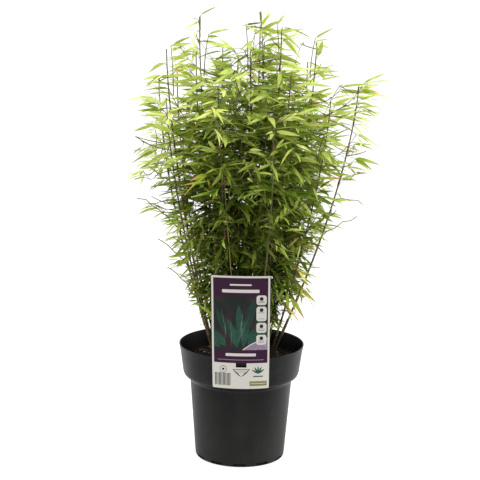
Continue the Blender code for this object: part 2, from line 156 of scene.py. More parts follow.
def mixed(tree, share, below, above):
    """The colour below with the colour above laid over it, as far as share goes."""
    below, above = [(*c, 1.0) if isinstance(c, tuple) else c for c in (below, above)]
    colours = {0: share, 6: below, 7: above}
    return put(tree, "ShaderNodeMix", colours, data_type="RGBA").outputs[2]


def calculated(tree, operation, *values):
    """The output of a Math node."""
    inputs = dict(enumerate(values))
    return put(tree, "ShaderNodeMath", inputs, operation=operation).outputs[0]


def vector_math(tree, operation, *values):
    """The vector output of a Vector Math node."""
    inputs = dict(enumerate(values))
    return put(tree, "ShaderNodeVectorMath", inputs, operation=operation).outputs["Vector"]


# %% Helpers for node groups, finishes and relief


def new_group(name, inputs, output):
    """A shader node group with named inputs, given with their usual values, and one output.

    Returns the group, the sockets that it is given and the socket that it gives.
    """
    group = bpy.data.node_groups.new(name, "ShaderNodeTree")
    for label, value in inputs.items():
        kind = "NodeSocketVector" if isinstance(value, tuple) else "NodeSocketFloat"
        socket = group.interface.new_socket(label, in_out="INPUT", socket_type=kind)
        socket.default_value = value
    group.interface.new_socket(output, in_out="OUTPUT", socket_type="NodeSocketFloat")
    given, result = put(group, "NodeGroupInput"), put(group, "NodeGroupOutput")
    return group, given.outputs, result.inputs[output]


def use_group(tree, group, **inputs):
    """Places a node group and returns its output. Input names have _ for a space."""
    inputs = {label.replace("_", " "): value for label, value in inputs.items()}
    return put(tree, "ShaderNodeGroup", inputs, node_tree=group).outputs[0]


def new_finish(name, colour, roughness):
    """A Principled material. Returns it with its node tree and its shader."""
    made = bpy.data.materials.new(name)
    made.use_nodes = True
    shader = made.node_tree.nodes["Principled BSDF"]
    shader.inputs["Base Color"].default_value = (*colour, 1.0)
    shader.inputs["Roughness"].default_value = roughness
    return made, made.node_tree, shader


def add_relief(tree, shader, height, depth):
    """Feeds a height, from 0 to 1, into the shader's normal. The depth is in metres."""
    bump = put(tree, "ShaderNodeBump", {"Height": height, "Distance": depth, "Strength": 1.0})
    tree.links.new(bump.outputs["Normal"], shader.inputs["Normal"])


# %% [markdown]
# ## Shared effects
#
# Two effects turn up in nearly every finish. The first is uneven tone: a soft noise, stretched
# along one direction where the surface was drawn or grew that way, and cut between two levels to
# give patches. The second is fine grain: a mix of a fine noise and tiny cells, which is the
# height of a moulded, printed or crumbly surface.

# %% Node group for uneven tone
uneven, given, result = new_group(
    "uneven_tone", {"Stretch": (1.0, 1.0, 1.0), "Scale": 20.0, "Low": 0.35, "High": 0.65}, "Share"
)
place_on = put(uneven, "ShaderNodeTexCoord").outputs["Object"]
stretched = vector_math(uneven, "MULTIPLY", place_on, given["Stretch"])
cloud = put(
    uneven,
    "ShaderNodeTexNoise",
    {"Vector": stretched, "Scale": given["Scale"], "Detail": 4.0},
)
levels = put(
    uneven,
    "ShaderNodeMapRange",
    {"Value": cloud.outputs["Fac"], "From Min": given["Low"], "From Max": given["High"]},
    interpolation_type="SMOOTHSTEP",
)
uneven.links.new(levels.outputs["Result"], result)
print("node group:", uneven.name, list(given.keys())[:-1])

# %% Node group for fine grain
grain, given, result = new_group("fine_grain", {"Scale": 400.0, "Cells": 0.5}, "Height")
place_on = put(grain, "ShaderNodeTexCoord").outputs["Object"]
spacing = {"Vector": place_on, "Scale": given["Scale"]}
fine = put(grain, "ShaderNodeTexNoise", {**spacing, "Detail": 3.0}).outputs["Fac"]
cells = put(grain, "ShaderNodeTexVoronoi", spacing).outputs["Distance"]
height = put(grain, "ShaderNodeMix", {0: given["Cells"], 2: fine, 3: cells})
grain.links.new(height.outputs[0], result)
print("node group:", grain.name, list(given.keys())[:-1])

# %% [markdown]
# ## Tools for pieces
#
# Every piece ends in the same way. Its mesh becomes an object, the object rides on the packed
# body, and the solids that it stands for are hidden. A bmesh is handed over once, so it is freed
# here. Sharp corners are kept by angle, so that flats stay flat and round walls shade smoothly. The
# first piece is the light table: a white floor that also glows, so the pot's shadow on it stays
# faint. It belongs to the stage, not to the plant.

# %% Helpers that finish a piece
SHARP_ANGLE = math.radians(38)
UP = Vector((0.0, 0.0, 1.0))


def add_piece(name, mesh, *finishes):
    """Puts a mesh into the scene with its finishes and smooth shading."""
    for finish in finishes:
        mesh.materials.append(finish)
    mesh.shade_smooth()
    mesh.set_sharp_from_angle(angle=SHARP_ANGLE)
    piece = bpy.data.objects.new(name, mesh)
    bpy.context.scene.collection.objects.link(piece)
    return piece


def mesh_from(name, bm):
    """The bmesh as a mesh, with its normals facing outwards."""
    bmesh.ops.recalc_face_normals(bm, faces=bm.faces)
    mesh = bpy.data.meshes.new(name)
    bm.to_mesh(mesh)
    bm.free()
    return mesh


def dress(piece, slot, *nodes):
    """The piece rides on the body and stands for the nodes, which it hides. The slot is not used.
    """
    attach(piece, "root")
    if nodes:
        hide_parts(*nodes)
    piece.data.calc_loop_triangles()
    print(piece.name, len(piece.data.loop_triangles), "triangles")


# %% White floor
FLOOR_SIDE = 60.0
FLOOR_GLOW = 0.72

floor_mesh = bmesh.new()
bmesh.ops.create_grid(floor_mesh, x_segments=1, y_segments=1, size=FLOOR_SIDE / 2)
floor_finish, _, shader = new_finish("white_floor", (0.35, 0.35, 0.35), 0.7)
shader.inputs["Emission Color"].default_value = (1.0, 1.0, 1.0, 1.0)
shader.inputs["Emission Strength"].default_value = FLOOR_GLOW
studio_floor = add_piece("studio_floor", mesh_from("studio_floor", floor_mesh), floor_finish)
print("floor:", FLOOR_SIDE, "m wide")

# %% [markdown]
# ## Pot
#
# A nursery pot is injection moulded from black polypropylene: a thin tapering wall, a step where
# pots rest in each other when stacked, a wider collar, and a lip that turns out at the top. A
# cylinder scaled at its top would miss the step, and a sculpted mesh wouldn't be round. So half
# of its section is drawn as corners, each corner is softened by a curve, and the line is spun
# round the axis. The drain notches are then cut out with a Boolean, as the mould's cores do.

# %% Section of the pot
pot_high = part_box("pot")[1]
LIP_RADIUS, POT_HEIGHT = pot_high.x, pot_high.z
COLLAR_TOP = (0.0976, POT_HEIGHT - 0.012)
COLLAR_FOOT = (0.0930, 0.140)
STEP_POINTS = ((0.0913, 0.1351), (0.0838, 0.1295))
BODY_TOP = (0.0815, 0.126)
BASE_RADIUS = 0.0715
WALL = 0.0018
POT_FLOOR = 0.0025
ROUNDING_STEPS = 5


def softened(corners):
    """A section whose corners are rounded. Each is (radius, height, reach of its curve)."""
    line = []
    for before, corner, after in zip(corners[:1] + corners, corners, corners[1:] + corners[-1:]):
        here, reach = Vector(corner[:2]), corner[2]
        if not reach:
            line.append(here)
            continue
        start = here + (Vector(before[:2]) - here).normalized() * reach
        end = here + (Vector(after[:2]) - here).normalized() * reach
        for step in range(ROUNDING_STEPS + 1):
            share = step / ROUNDING_STEPS
            line.append(start.lerp(here, share).lerp(here.lerp(end, share), share))
    return line


outside = [
    (0.0, 0.0, 0.0),
    (BASE_RADIUS, 0.0, 0.0032),
    (*BODY_TOP, 0.0010),
    (*STEP_POINTS[1], 0.0009),
    (*STEP_POINTS[0], 0.0026),
    (*COLLAR_FOOT, 0.0022),
    (*COLLAR_TOP, 0.0040),
    (LIP_RADIUS - 0.0008, POT_HEIGHT - 0.0036, 0.0016),
    (LIP_RADIUS, POT_HEIGHT, 0.0007),
    (LIP_RADIUS - WALL, POT_HEIGHT, 0.0007),
]
inside = [
    (COLLAR_TOP[0] - WALL, COLLAR_TOP[1], 0.0040),
    (COLLAR_FOOT[0] - WALL, COLLAR_FOOT[1], 0.0022),
    (BODY_TOP[0] - WALL, BODY_TOP[1], 0.0022),
    (BASE_RADIUS - WALL, POT_FLOOR, 0.0020),
    (0.0, POT_FLOOR, 0.0),
]
pot_section = softened(outside + inside)
print("points in the section:", len(pot_section))


# %% Spin the section
POT_SIDES = 144
SAME_PLACE = 1e-5


def spun(section, sides):
    """The section turned all the way round the Z axis."""
    bm = bmesh.new()
    points = [bm.verts.new((radius, 0.0, height)) for radius, height in section]
    edges = [bm.edges.new(pair) for pair in zip(points, points[1:])]
    bmesh.ops.spin(
        bm,
        geom=points + edges,
        cent=(0.0, 0.0, 0.0),
        axis=UP,
        angle=math.tau,
        steps=sides,
        use_merge=True,
    )
    bmesh.ops.remove_doubles(bm, verts=bm.verts, dist=SAME_PLACE)
    return bm


pot_mesh = mesh_from("pot_shell", spun(pot_section, POT_SIDES))
print("faces of the uncut pot:", len(pot_mesh.polygons))

# %% Shape the cutters of the drain notches
NOTCHES = 12
NOTCH = (0.010, 0.021, 0.0048)  # depth, width and height of the cutter
NOTCH_FOOT = 0.0009  # a thin rim is left under each notch
NOTCH_OUT = 0.002  # how far outside the base the cutter's middle lies
NOTCH_ROUND = 0.002

cutters = bmesh.new()
for turn in range(NOTCHES):
    bearing = Matrix.Rotation(math.tau * turn / NOTCHES - math.pi / 2, 4, "Z")
    out = Matrix.Translation((BASE_RADIUS + NOTCH_OUT, 0.0, NOTCH_FOOT + NOTCH[2] / 2))
    block = bmesh.ops.create_cube(
        cutters, size=1.0, matrix=bearing @ out @ Matrix.Diagonal((*NOTCH, 1.0))
    )
    level = {edge for vert in block["verts"] for edge in vert.link_edges}
    level = [e for e in level if abs((e.verts[0].co - e.verts[1].co).z) < NOTCH_ROUND]
    bmesh.ops.bevel(
        cutters,
        geom=[e for e in level if e.calc_length() < NOTCH[1] / 1.5],
        offset=NOTCH_ROUND,
        segments=3,
        profile=0.5,
        affect="EDGES",
        material=-1,
    )
cutter = add_piece("notch_cutter", mesh_from("notch_cutter", cutters))
print("notches:", NOTCHES)


# %% Cut the drain notches
def applied(piece):
    """The piece's mesh with its modifiers taken in."""
    graph = bpy.context.evaluated_depsgraph_get()
    return bpy.data.meshes.new_from_object(piece.evaluated_get(graph))


uncut = add_piece("uncut_pot", pot_mesh)
cut = uncut.modifiers.new("drain notches", "BOOLEAN")
cut.operation = "DIFFERENCE"
cut.object = cutter
pot_mesh = applied(uncut)
for leftover in (uncut, cutter):
    bpy.data.objects.remove(leftover)
print("faces of the pot:", len(pot_mesh.polygons))

# %% [markdown]
# ### Black moulded plastic
#
# Pot plastic is never quite black. It has a satin sheen, fine pits from the mould, upright
# streaks where water has run down it, and a dusty bloom that gathers in patches. One dark colour
# would look like a hole in the picture. The streaks are noise stretched eight times along Z, and
# the sheen varies with the same patches, because dust is duller than the plastic under it. Rain
# splashes more dust against the foot than the collar. Inside the pot the rim and the crown keep
# the light out, so the inner wall gets its own values: painted shade, nearly black, and matt.

# %% Finishes of the pot
SPLASHED, SPLASH_FADE = 0.50, -4.2  # share of dust at the foot, and its change per metre up
DUST_SHARE = 0.24  # of each of the streaks and the patches
DULLED = 0.30  # how much rougher a full film of dust is


def plastic_finish(name, clean, dusty, roughness, gloss):
    """Moulded plastic with streaks, patches and splashes of dust, and a fine pitted relief."""
    finish, tree, shader = new_finish(name, clean, roughness)
    streaks = use_group(tree, uneven, Stretch=(1.0, 1.0, 0.12), Scale=42.0, Low=0.42, High=0.78)
    patches = use_group(tree, uneven, Scale=26.0, Low=0.45, High=0.75)
    height = put(tree, "ShaderNodeTexCoord").outputs["Object"]
    height = put(tree, "ShaderNodeSeparateXYZ", {0: height}).outputs["Z"]
    splashed = calculated(tree, "MULTIPLY_ADD", height, SPLASH_FADE, SPLASHED)
    splashed = put(tree, "ShaderNodeClamp", {"Value": splashed}).outputs["Result"]
    film = calculated(tree, "MULTIPLY", calculated(tree, "ADD", streaks, patches), DUST_SHARE)
    film = calculated(tree, "ADD", film, splashed)
    tree.links.new(mixed(tree, film, clean, dusty), shader.inputs["Base Color"])
    roughened = calculated(tree, "MULTIPLY_ADD", film, DULLED, roughness)
    tree.links.new(roughened, shader.inputs["Roughness"])
    shader.inputs["Specular IOR Level"].default_value = gloss
    add_relief(tree, shader, use_group(tree, grain, Scale=1500.0, Cells=0.3), 0.00008)
    return finish


pot_finish = plastic_finish(
    "black_moulded_plastic", (0.0026, 0.0026, 0.0024), (0.0190, 0.0186, 0.0176), 0.35, 0.135
)
# painted shade: the inner wall is coloured nearly black because the rim and the crown shade it
shaded_inner_finish = plastic_finish(
    "painted_shade_inner_wall", (0.0016, 0.0014, 0.0012), (0.0060, 0.0050, 0.0040), 0.50, 0.06
)
print("finishes:", pot_finish.name, shaded_inner_finish.name)

# %% Give the inner wall its own finish of painted shade
SHADE_LINE = POT_HEIGHT - 0.003  # the inner wall is painted in shade below this height

for face in pot_mesh.polygons:
    inwards = face.normal.dot(Vector((face.center.x, face.center.y, 0.0))) < 0.0
    face.material_index = int(inwards and POT_FLOOR < face.center.z < SHADE_LINE)
pot_shell = add_piece("pot_shell", pot_mesh, pot_finish, shaded_inner_finish)
dress(pot_shell, "pot", "pot")

# %% [markdown]
# ## Potting mix
#
# The pot is filled with peat and composted bark: a dark bed with soft humps, strewn with crumbs
# of bark, a few pale grains of grit, and bits of straw and dry leaf that fell from the plant. A
# displaced plane alone looks like velvet, so the humps are made by moving a fine disc up and
# down with noise, and the crumbs are real lumps that lie on it.

# %% Spin the bed and raise its humps
MIX_LEVEL = 0.159
MIX_EDGE = 0.0935
BED_RINGS = 34
BED_SIDES = 120
HUMP = 0.0022
BROAD, BROAD_PART = 45.0, 0.7  # waves per metre, and their part of the hump
SMALL, SMALL_PART = 190.0, 0.45
SMALL_SLICE = 0.02  # another slice of the noise, so the two don't line up
CLEAR = 0.0003  # between one solid and the next
FOOT_CLEAR = 0.0015  # the wall's foot is rounded inside, so the mix keeps off it


def bed_height(x, y):
    """How high the bed is at a place: broad humps with small ones on them."""
    broad = noise.noise(Vector((x, y, 0.0)) * BROAD)
    small = noise.noise(Vector((x, y, SMALL_SLICE)) * SMALL)
    return MIX_LEVEL + HUMP * (BROAD_PART * broad + SMALL_PART * small)


top = [(MIX_EDGE * (1.0 - ring / BED_RINGS), MIX_LEVEL) for ring in range(BED_RINGS + 1)]
under = [(r - WALL - CLEAR, z) for r, z in (BODY_TOP, COLLAR_FOOT)]
low = POT_FLOOR + CLEAR
under = [(0.0, low), (BASE_RADIUS - WALL - FOOT_CLEAR, low), *under]
bed = spun(under + top, BED_SIDES)
for vert in bed.verts:
    if vert.co.z > MIX_LEVEL - CLEAR:
        vert.co.z = bed_height(vert.co.x, vert.co.y)
mix_bed_mesh = mesh_from("mix_bed", bed)
print("faces of the bed:", len(mix_bed_mesh.polygons))

# %% [markdown]
# ### Many copies of one small thing
#
# Crumbs, grit and leaves are each a few small meshes repeated hundreds of times. Objects that
# share a mesh would be light, but a part that travels to other programs needs plain meshes, so
# the copies are written into one mesh. Doing that with arrays of numbers takes a moment, where
# copying faces one by one takes minutes.

# %% Helper that stamps copies into one mesh


def stamped(name, shapes, places):
    """One mesh with a copy of a shape at every place. places holds (shape number, matrix)."""
    points, faces, slots = [], [], []
    offset = 0
    for number, shape in enumerate(shapes):
        matrices = np.array([place for which, place in places if which == number])
        if not len(matrices):
            continue
        local = np.empty(len(shape.vertices) * 3)
        shape.vertices.foreach_get("co", local)
        local = local.reshape(-1, 3)
        moved = np.einsum("nij,vj->nvi", matrices[:, :3, :3], local) + matrices[:, None, :3, 3]
        points.append(moved.reshape(-1, 3))
        rings = [np.array(polygon.vertices) for polygon in shape.polygons]
        for copy in range(len(matrices)):
            start = offset + copy * len(local)
            faces.extend((ring + start).tolist() for ring in rings)
        offset += len(matrices) * len(local)
        slots.extend([polygon.material_index for polygon in shape.polygons] * len(matrices))
    mesh = bpy.data.meshes.new(name)
    mesh.from_pydata(np.concatenate(points).tolist(), [], faces)
    mesh.polygons.foreach_set("material_index", slots)
    mesh.update()
    return mesh


# %% Shape the lumps
BED_SEED = 5
FLATNESS = (0.35, 0.5, 0.75)
UNEVENNESS = (0.7, 1.15)


def lump(chance, flatness):
    """An irregular lump 1 across, flatter than it is wide: 20 faces."""
    bm = bmesh.new()
    bmesh.ops.create_icosphere(bm, subdivisions=1, radius=0.5)
    for vert in bm.verts:
        vert.co *= chance.uniform(*UNEVENNESS)
        vert.co.z *= flatness
    return mesh_from("lump", bm)


chance = random.Random(BED_SEED)
lumps = [lump(chance, flatness) for flatness in FLATNESS]
print("lumps:", len(lumps), "faces of one:", len(lumps[0].polygons))

# %% Strew the crumbs of bark and the grains of grit
CRUMBS, CRUMB_SIZES = 620, (0.0022, 0.0075)
GRAINS, GRAIN_SIZES = 60, (0.0018, 0.0046)
EDGE_CLEAR = 0.004
TUMBLE = 0.5
NARROWEST = 0.4
LIFTED = 0.06  # of its size, from the bed to a lump's middle, so the rest of it is sunk


def strewn(count, smallest, largest, chance):
    """Places all over the bed for lumps of these sizes, each tumbled and partly sunk."""
    places = []
    for _ in range(count):
        away = (MIX_EDGE - EDGE_CLEAR) * math.sqrt(chance.random())
        angle = chance.uniform(0.0, math.tau)
        x, y = away * math.cos(angle), away * math.sin(angle)
        size = chance.uniform(smallest, largest)
        tumble = Matrix.Rotation(chance.gauss(0.0, TUMBLE), 4, "X")
        turn = Matrix.Rotation(chance.uniform(0.0, math.tau), 4, "Z")
        stretch = Matrix.Diagonal((1.0, chance.uniform(NARROWEST, 1.0), 1.0, 1.0))
        lift = Matrix.Translation((x, y, bed_height(x, y) + size * LIFTED))
        scale = Matrix.Diagonal((size, size, size, 1.0))
        number = chance.randrange(len(FLATNESS))
        places.append((number, lift @ turn @ tumble @ stretch @ scale))
    return places


crumb_mesh = stamped("bark_crumbs", lumps, strewn(CRUMBS, *CRUMB_SIZES, chance))
grain_mesh = stamped("grit_grains", lumps, strewn(GRAINS, *GRAIN_SIZES, chance))
print("crumbs:", CRUMBS, "grains:", GRAINS)

# %% [markdown]
# ### Damp peat and bark
#
# Moist peat is a very dark brown, nearly matt, with a few glints where a crumb is wet. The bed
# and the crumbs share one recipe and differ in their colours, so that the crumbs stand out a
# little from the bed, and the grit is left pale and chalky.

# %% Finishes of the bed, the crumbs and the grit
PEAT = (0.0022, 0.0017, 0.0013), (0.0070, 0.0050, 0.0036)
BARK = (0.0035, 0.0024, 0.0018), (0.016, 0.010, 0.006)
GRIT = (0.62, 0.60, 0.54), (0.86, 0.85, 0.80)
WET_ROUGHNESS, DRY_ROUGHNESS = 0.62, 0.92


def earthy_finish(name, dark, light, scale, depth):
    """A rough finish that wanders between two colours, with a crumbly relief."""
    finish, tree, shader = new_finish(name, light, 0.9)
    patches = use_group(tree, uneven, Scale=scale, Low=0.35, High=0.7)
    tree.links.new(mixed(tree, patches, dark, light), shader.inputs["Base Color"])
    drying = DRY_ROUGHNESS - WET_ROUGHNESS
    damp = calculated(tree, "MULTIPLY_ADD", patches, drying, WET_ROUGHNESS)
    tree.links.new(damp, shader.inputs["Roughness"])
    shader.inputs["Specular IOR Level"].default_value = 0.15
    add_relief(tree, shader, use_group(tree, grain, Scale=scale * 6, Cells=0.6), depth)
    return finish


bed_finish = earthy_finish("peat", *PEAT, 120.0, 0.0008)
bark_finish = earthy_finish("bark", *BARK, 160.0, 0.0004)
grit_finish = earthy_finish("grit", *GRIT, 300.0, 0.0002)
dress(add_piece("mix_bed", mix_bed_mesh, bed_finish), "mix", "potting_mix")
dress(add_piece("bark_crumbs", crumb_mesh, bark_finish), "mix")
dress(add_piece("grit_grains", grain_mesh, grit_finish), "mix")

# %% [markdown]
# ## Label card
#
# A plant label is a stiff plastic card, die cut with rounded corners, printed on its face and
# plain on its back. A tongue is cut out of it and hooked over the rim, which leaves a slot that
# shows the pot behind. The card is made flat from a grid, because a flat card is easy to cut and
# to print, and is bent round the pot only at the end. The print is placed by a UV map that is
# taken from the flat card, so it bends with it.

# %% Cut the card flat
CARD_WIDTH = 0.0915
CARD_FOOT, CARD_TOP = 0.139, 0.317
CARD_HEIGHT = CARD_TOP - CARD_FOOT
CARD_THICKNESS = 0.0009
CARD_COLUMNS, CARD_ROWS = 24, 12
FOOT_BEND, TOP_BEND = 0.120, 0.250  # radius of the card's bend at its foot and at its top
CARD_LEAN = -0.003
CARD_TRIM, CARD_TAPER = 0.985, 0.025  # the card is cut a little narrower at its foot
SLOT = (-0.0078, 0.0092, 0.173, 0.180)  # left, right, foot and top of the slot
CORNER = 0.0016

card = bmesh.new()
upright = Matrix.Rotation(math.pi / 2, 4, "X")
flat = Matrix.Translation((0.0, 0.0, (CARD_FOOT + CARD_TOP) / 2)) @ upright
flat = flat @ Matrix.Diagonal((CARD_WIDTH, CARD_HEIGHT, 1.0, 1.0))
bmesh.ops.create_grid(
    card, x_segments=CARD_COLUMNS, y_segments=CARD_ROWS, size=0.5, matrix=flat
)
ACROSS = Vector((1.0, 0.0, 0.0))
for normal, place in zip((ACROSS, ACROSS, UP, UP), SLOT):
    everything = card.verts[:] + card.edges[:] + card.faces[:]
    bmesh.ops.bisect_plane(
        card, geom=everything, dist=1e-6, plane_co=normal * place, plane_no=normal
    )


def in_slot(face):
    """Whether a face of the flat card lies in the slot that the tongue is cut from."""
    middle = face.calc_center_median()
    return SLOT[0] < middle.x < SLOT[1] and SLOT[2] < middle.z < SLOT[3]


bmesh.ops.delete(card, geom=[face for face in card.faces if in_slot(face)], context="FACES")
corners = [vert for vert in card.verts if len(vert.link_faces) == 1]
corners = [vert for vert in corners if abs(vert.co.x) > CARD_WIDTH / 2 - CORNER]
bmesh.ops.bevel(
    card,
    geom=corners,
    offset=CORNER,
    segments=4,
    profile=0.5,
    affect="VERTICES",
    material=-1,
)
print("faces of the flat card:", len(card.faces))

# %% Give it a map for its print
layer = card.loops.layers.uv.new("print")
for face in card.faces:
    for loop in face.loops:
        spot = loop.vert.co
        loop[layer].uv = (spot.x / CARD_WIDTH + 0.5, (spot.z - CARD_FOOT) / CARD_HEIGHT)
print("map:", layer.name)

# %% Thicken it and fold the tongue
TONGUE_WIDTH, TONGUE_DROP = 0.0160, 0.016
FACES_FRONT = -0.9  # a face whose normal's Y is less than this looks to the front

lifted = bmesh.ops.extrude_face_region(card, geom=card.faces[:], use_keep_orig=True)["geom"]
for item in lifted:
    if isinstance(item, bmesh.types.BMVert):
        item.co.y -= CARD_THICKNESS
bmesh.ops.recalc_face_normals(card, faces=card.faces)
for face in card.faces:
    printed = face.normal.y < FACES_FRONT and face.calc_center_median().y < -CARD_THICKNESS / 2
    face.material_index = 0 if printed else 1

over_lip = LIP_RADIUS + CLEAR - COLLAR_FOOT[0] + WALL
fold = POT_HEIGHT + CLEAR
flap_size = (TONGUE_WIDTH, over_lip, CARD_THICKNESS)
flap_place = (0.0, over_lip / 2, fold + CARD_THICKNESS / 2)
drop_size = (TONGUE_WIDTH, CARD_THICKNESS, TONGUE_DROP)
drop_place = (0.0, over_lip - CARD_THICKNESS / 2, fold + CARD_THICKNESS - TONGUE_DROP / 2)
for size, place in ((flap_size, flap_place), (drop_size, drop_place)):
    strip = Matrix.Translation(place) @ Matrix.Diagonal((*size, 1.0))
    made = bmesh.ops.create_cube(card, size=1.0, matrix=strip)
    for face in {face for vert in made["verts"] for face in vert.link_faces}:
        face.material_index = 1
print("faces with the tongue:", len(card.faces))


# %% Bend it round the pot
def bent_card(flat):
    """Where a point of the flat card goes: across it, out in front of its back, and up."""
    share = (flat.z - CARD_FOOT) / CARD_HEIGHT
    slip = CARD_LEAN * share
    flat.x *= CARD_TRIM - CARD_TAPER * (1.0 - share)
    if flat.y > CLEAR:  # the tongue, behind the card, stays straight
        return Vector((flat.x + slip, flat.y - LIP_RADIUS - CLEAR, flat.z))
    bend = FOOT_BEND + (TOP_BEND - FOOT_BEND) * share
    turn, radius = flat.x / bend, bend - flat.y
    out = bend - LIP_RADIUS - CLEAR - radius * math.cos(turn)
    return Vector((radius * math.sin(turn) + slip, out, flat.z))


for vert in card.verts:
    vert.co = bent_card(vert.co)
card_mesh = mesh_from("label_card", card)
print("faces of the card:", len(card_mesh.polygons))

# %% [markdown]
# ### Print on the card
#
# The card is cream, with a plum band at its head and its foot and a dark picture of leaves
# between them. The picture is a dim thicket of pointed leaves, the words are plain bars, and the
# little signs are dots on rounded tiles, so the card could belong to any grower. Nearly all of it
# is built from two shapes, a rounded box and a pointed leaf, and the stripes at its foot are two
# waves added up. Each shape is a node group that gives a mask, and each mask lays one colour over
# the last, as a printer lays inks. The groups work in millimetres from the middle of the card's
# foot edge.

# %% Node group for a rounded box
ORIGIN = (0.0, 0.0, 0.0)
PRINT_BLEED = 0.01  # so that a box with sharp corners has an edge too

box_print, given, result = new_group(
    "print_rounded_box",
    {"Place": ORIGIN, "Middle": ORIGIN, "Half size": (10.0, 10.0, 0.0), "Round": 1.0},
    "Mask",
)
away = vector_math(box_print, "SUBTRACT", given["Place"], given["Middle"])
away = vector_math(box_print, "ABSOLUTE", away)
corner = put(box_print, "ShaderNodeCombineXYZ", {axis: given["Round"] for axis in (0, 1)})
core = vector_math(box_print, "SUBTRACT", given["Half size"], corner.outputs["Vector"])
beyond = vector_math(box_print, "SUBTRACT", away, core)
beyond = vector_math(box_print, "MAXIMUM", beyond, ORIGIN)
reach = put(box_print, "ShaderNodeVectorMath", {0: beyond}, operation="LENGTH")
edge = calculated(box_print, "ADD", given["Round"], PRINT_BLEED)
within = calculated(box_print, "LESS_THAN", reach.outputs["Value"], edge)
box_print.links.new(within, result)
print("node group:", box_print.name)

# %% Node group for a pointed leaf
leaf_print, given, result = new_group(
    "print_pointed_leaf",
    {"Place": ORIGIN, "Root": ORIGIN, "Turn": 0.0, "Length": 30.0, "Width": 6.0},
    "Mask",
)
from_root = vector_math(leaf_print, "SUBTRACT", given["Place"], given["Root"])
back = calculated(leaf_print, "MULTIPLY", given["Turn"], -1.0)
along_blade = put(
    leaf_print,
    "ShaderNodeVectorRotate",
    {"Vector": from_root, "Angle": back},
    rotation_type="Z_AXIS",
)
parts = put(leaf_print, "ShaderNodeSeparateXYZ", {0: along_blade.outputs[0]})
share = calculated(leaf_print, "DIVIDE", parts.outputs["X"], given["Length"])
rest = calculated(leaf_print, "SUBTRACT", 1.0, share)
arch = calculated(leaf_print, "MULTIPLY", share, rest)
twice = calculated(leaf_print, "MULTIPLY", given["Width"], 2.0)
edge = calculated(leaf_print, "MULTIPLY", arch, twice)
across = calculated(leaf_print, "ABSOLUTE", parts.outputs["Y"])
leaf_print.links.new(calculated(leaf_print, "LESS_THAN", across, edge), result)
print("node group:", leaf_print.name)

# %% Inks and the place on the card
CREAM, PLUM, LILAC = (0.49, 0.475, 0.43), (0.024, 0.0030, 0.020), (0.20, 0.14, 0.205)
NIGHT_GREEN, DUSK = (0.0050, 0.0115, 0.0095), (0.0300, 0.0105, 0.0130)
MOSS, SEA_GREEN, STRAW = (0.0085, 0.0340, 0.0235), (0.0130, 0.0680, 0.0460), (0.190, 0.190, 0.150)
OLIVE, INK, GREY = (0.17, 0.16, 0.065), (0.010, 0.011, 0.014), (0.26, 0.25, 0.25)
PINE, SPRIG = (0.012, 0.050, 0.030), (0.020, 0.085, 0.045)
MILLIMETRES = 1000

card_finish, tree, shader = new_finish("printed_card", CREAM, 0.34)
uv = put(tree, "ShaderNodeUVMap", uv_map="print")
to_middle = (-CARD_WIDTH * MILLIMETRES / 2, 0.0, 0.0)
to_size = (CARD_WIDTH * MILLIMETRES, CARD_HEIGHT * MILLIMETRES, 0.0)
mapping = {"Vector": uv.outputs["UV"], "Location": to_middle, "Scale": to_size}
place = put(tree, "ShaderNodeMapping", mapping).outputs["Vector"]
print("card:", to_size[:2], "mm")

# %% Helpers for masks
SIDE_MARGIN = 3  # of light card beside the print


def box_mask(left, right, foot, top, round_by=0.0):
    """A rounded box of the print, by its edges in millimetres."""
    return use_group(
        tree,
        box_print,
        Place=place,
        Middle=((left + right) / 2, (foot + top) / 2, 0.0),
        Half_size=((right - left) / 2, (top - foot) / 2, 0.0),
        Round=round_by,
    )


def leaf_mask(x, z, degrees, length, width):
    """A pointed leaf of the print, from its root."""
    return use_group(
        tree,
        leaf_print,
        Place=place,
        Root=(x, z, 0.0),
        Turn=math.radians(degrees),
        Length=length,
        Width=width,
    )


def band_mask(foot, top):
    """The width of the print, inside the card's light margin."""
    side = CARD_WIDTH * MILLIMETRES / 2 - SIDE_MARGIN
    return box_mask(-side, side, foot, top)


# %% Print the picture of leaves
PICTURE = (62.0, 146.0)  # foot and top
PICTURE_SEED = 3
BLADES, BLADE_SKIP = 14, 5  # the skip keeps neighbours from being printed in a row
FIRST_ROOT, ROOT_SPREAD, ROOT_FOOT, ROOT_RISE = -32, 58, 56, (0, 40)
FIRST_TURN, TURN_SPREAD = 152, 110
BLADE_LENGTHS, BLADE_WIDTHS, BLADE_COVER = (30, 56), (8, 15), 0.8

blotches = use_group(tree, uneven, Scale=52.0, Low=0.40, High=0.68)
ground = mixed(tree, blotches, NIGHT_GREEN, DUSK)
chance = random.Random(PICTURE_SEED)
for number in range(BLADES):
    share = (number * BLADE_SKIP % BLADES) / (BLADES - 1)
    root = (FIRST_ROOT + ROOT_SPREAD * share, ROOT_FOOT + chance.uniform(*ROOT_RISE))
    turn = FIRST_TURN - TURN_SPREAD * share
    blade = leaf_mask(*root, turn, chance.uniform(*BLADE_LENGTHS), chance.uniform(*BLADE_WIDTHS))
    tone = chance.choice((MOSS, SEA_GREEN))
    ground = mixed(tree, calculated(tree, "MULTIPLY", blade, BLADE_COVER), ground, tone)
print("leaves in the picture:", BLADES)

# %% Print the picture's stalks and its haze
STALKS = 7
STALK_SIDES, STALK_FOOT, STALK_RISE, STALK_TURNS = (-26, 16), 64, (0, 22), (62, 122)
STALK_LENGTHS, STALK_WIDTH, STALK_COVER = (30, 52), 0.5, 0.75
HAZE_COVER = 0.35

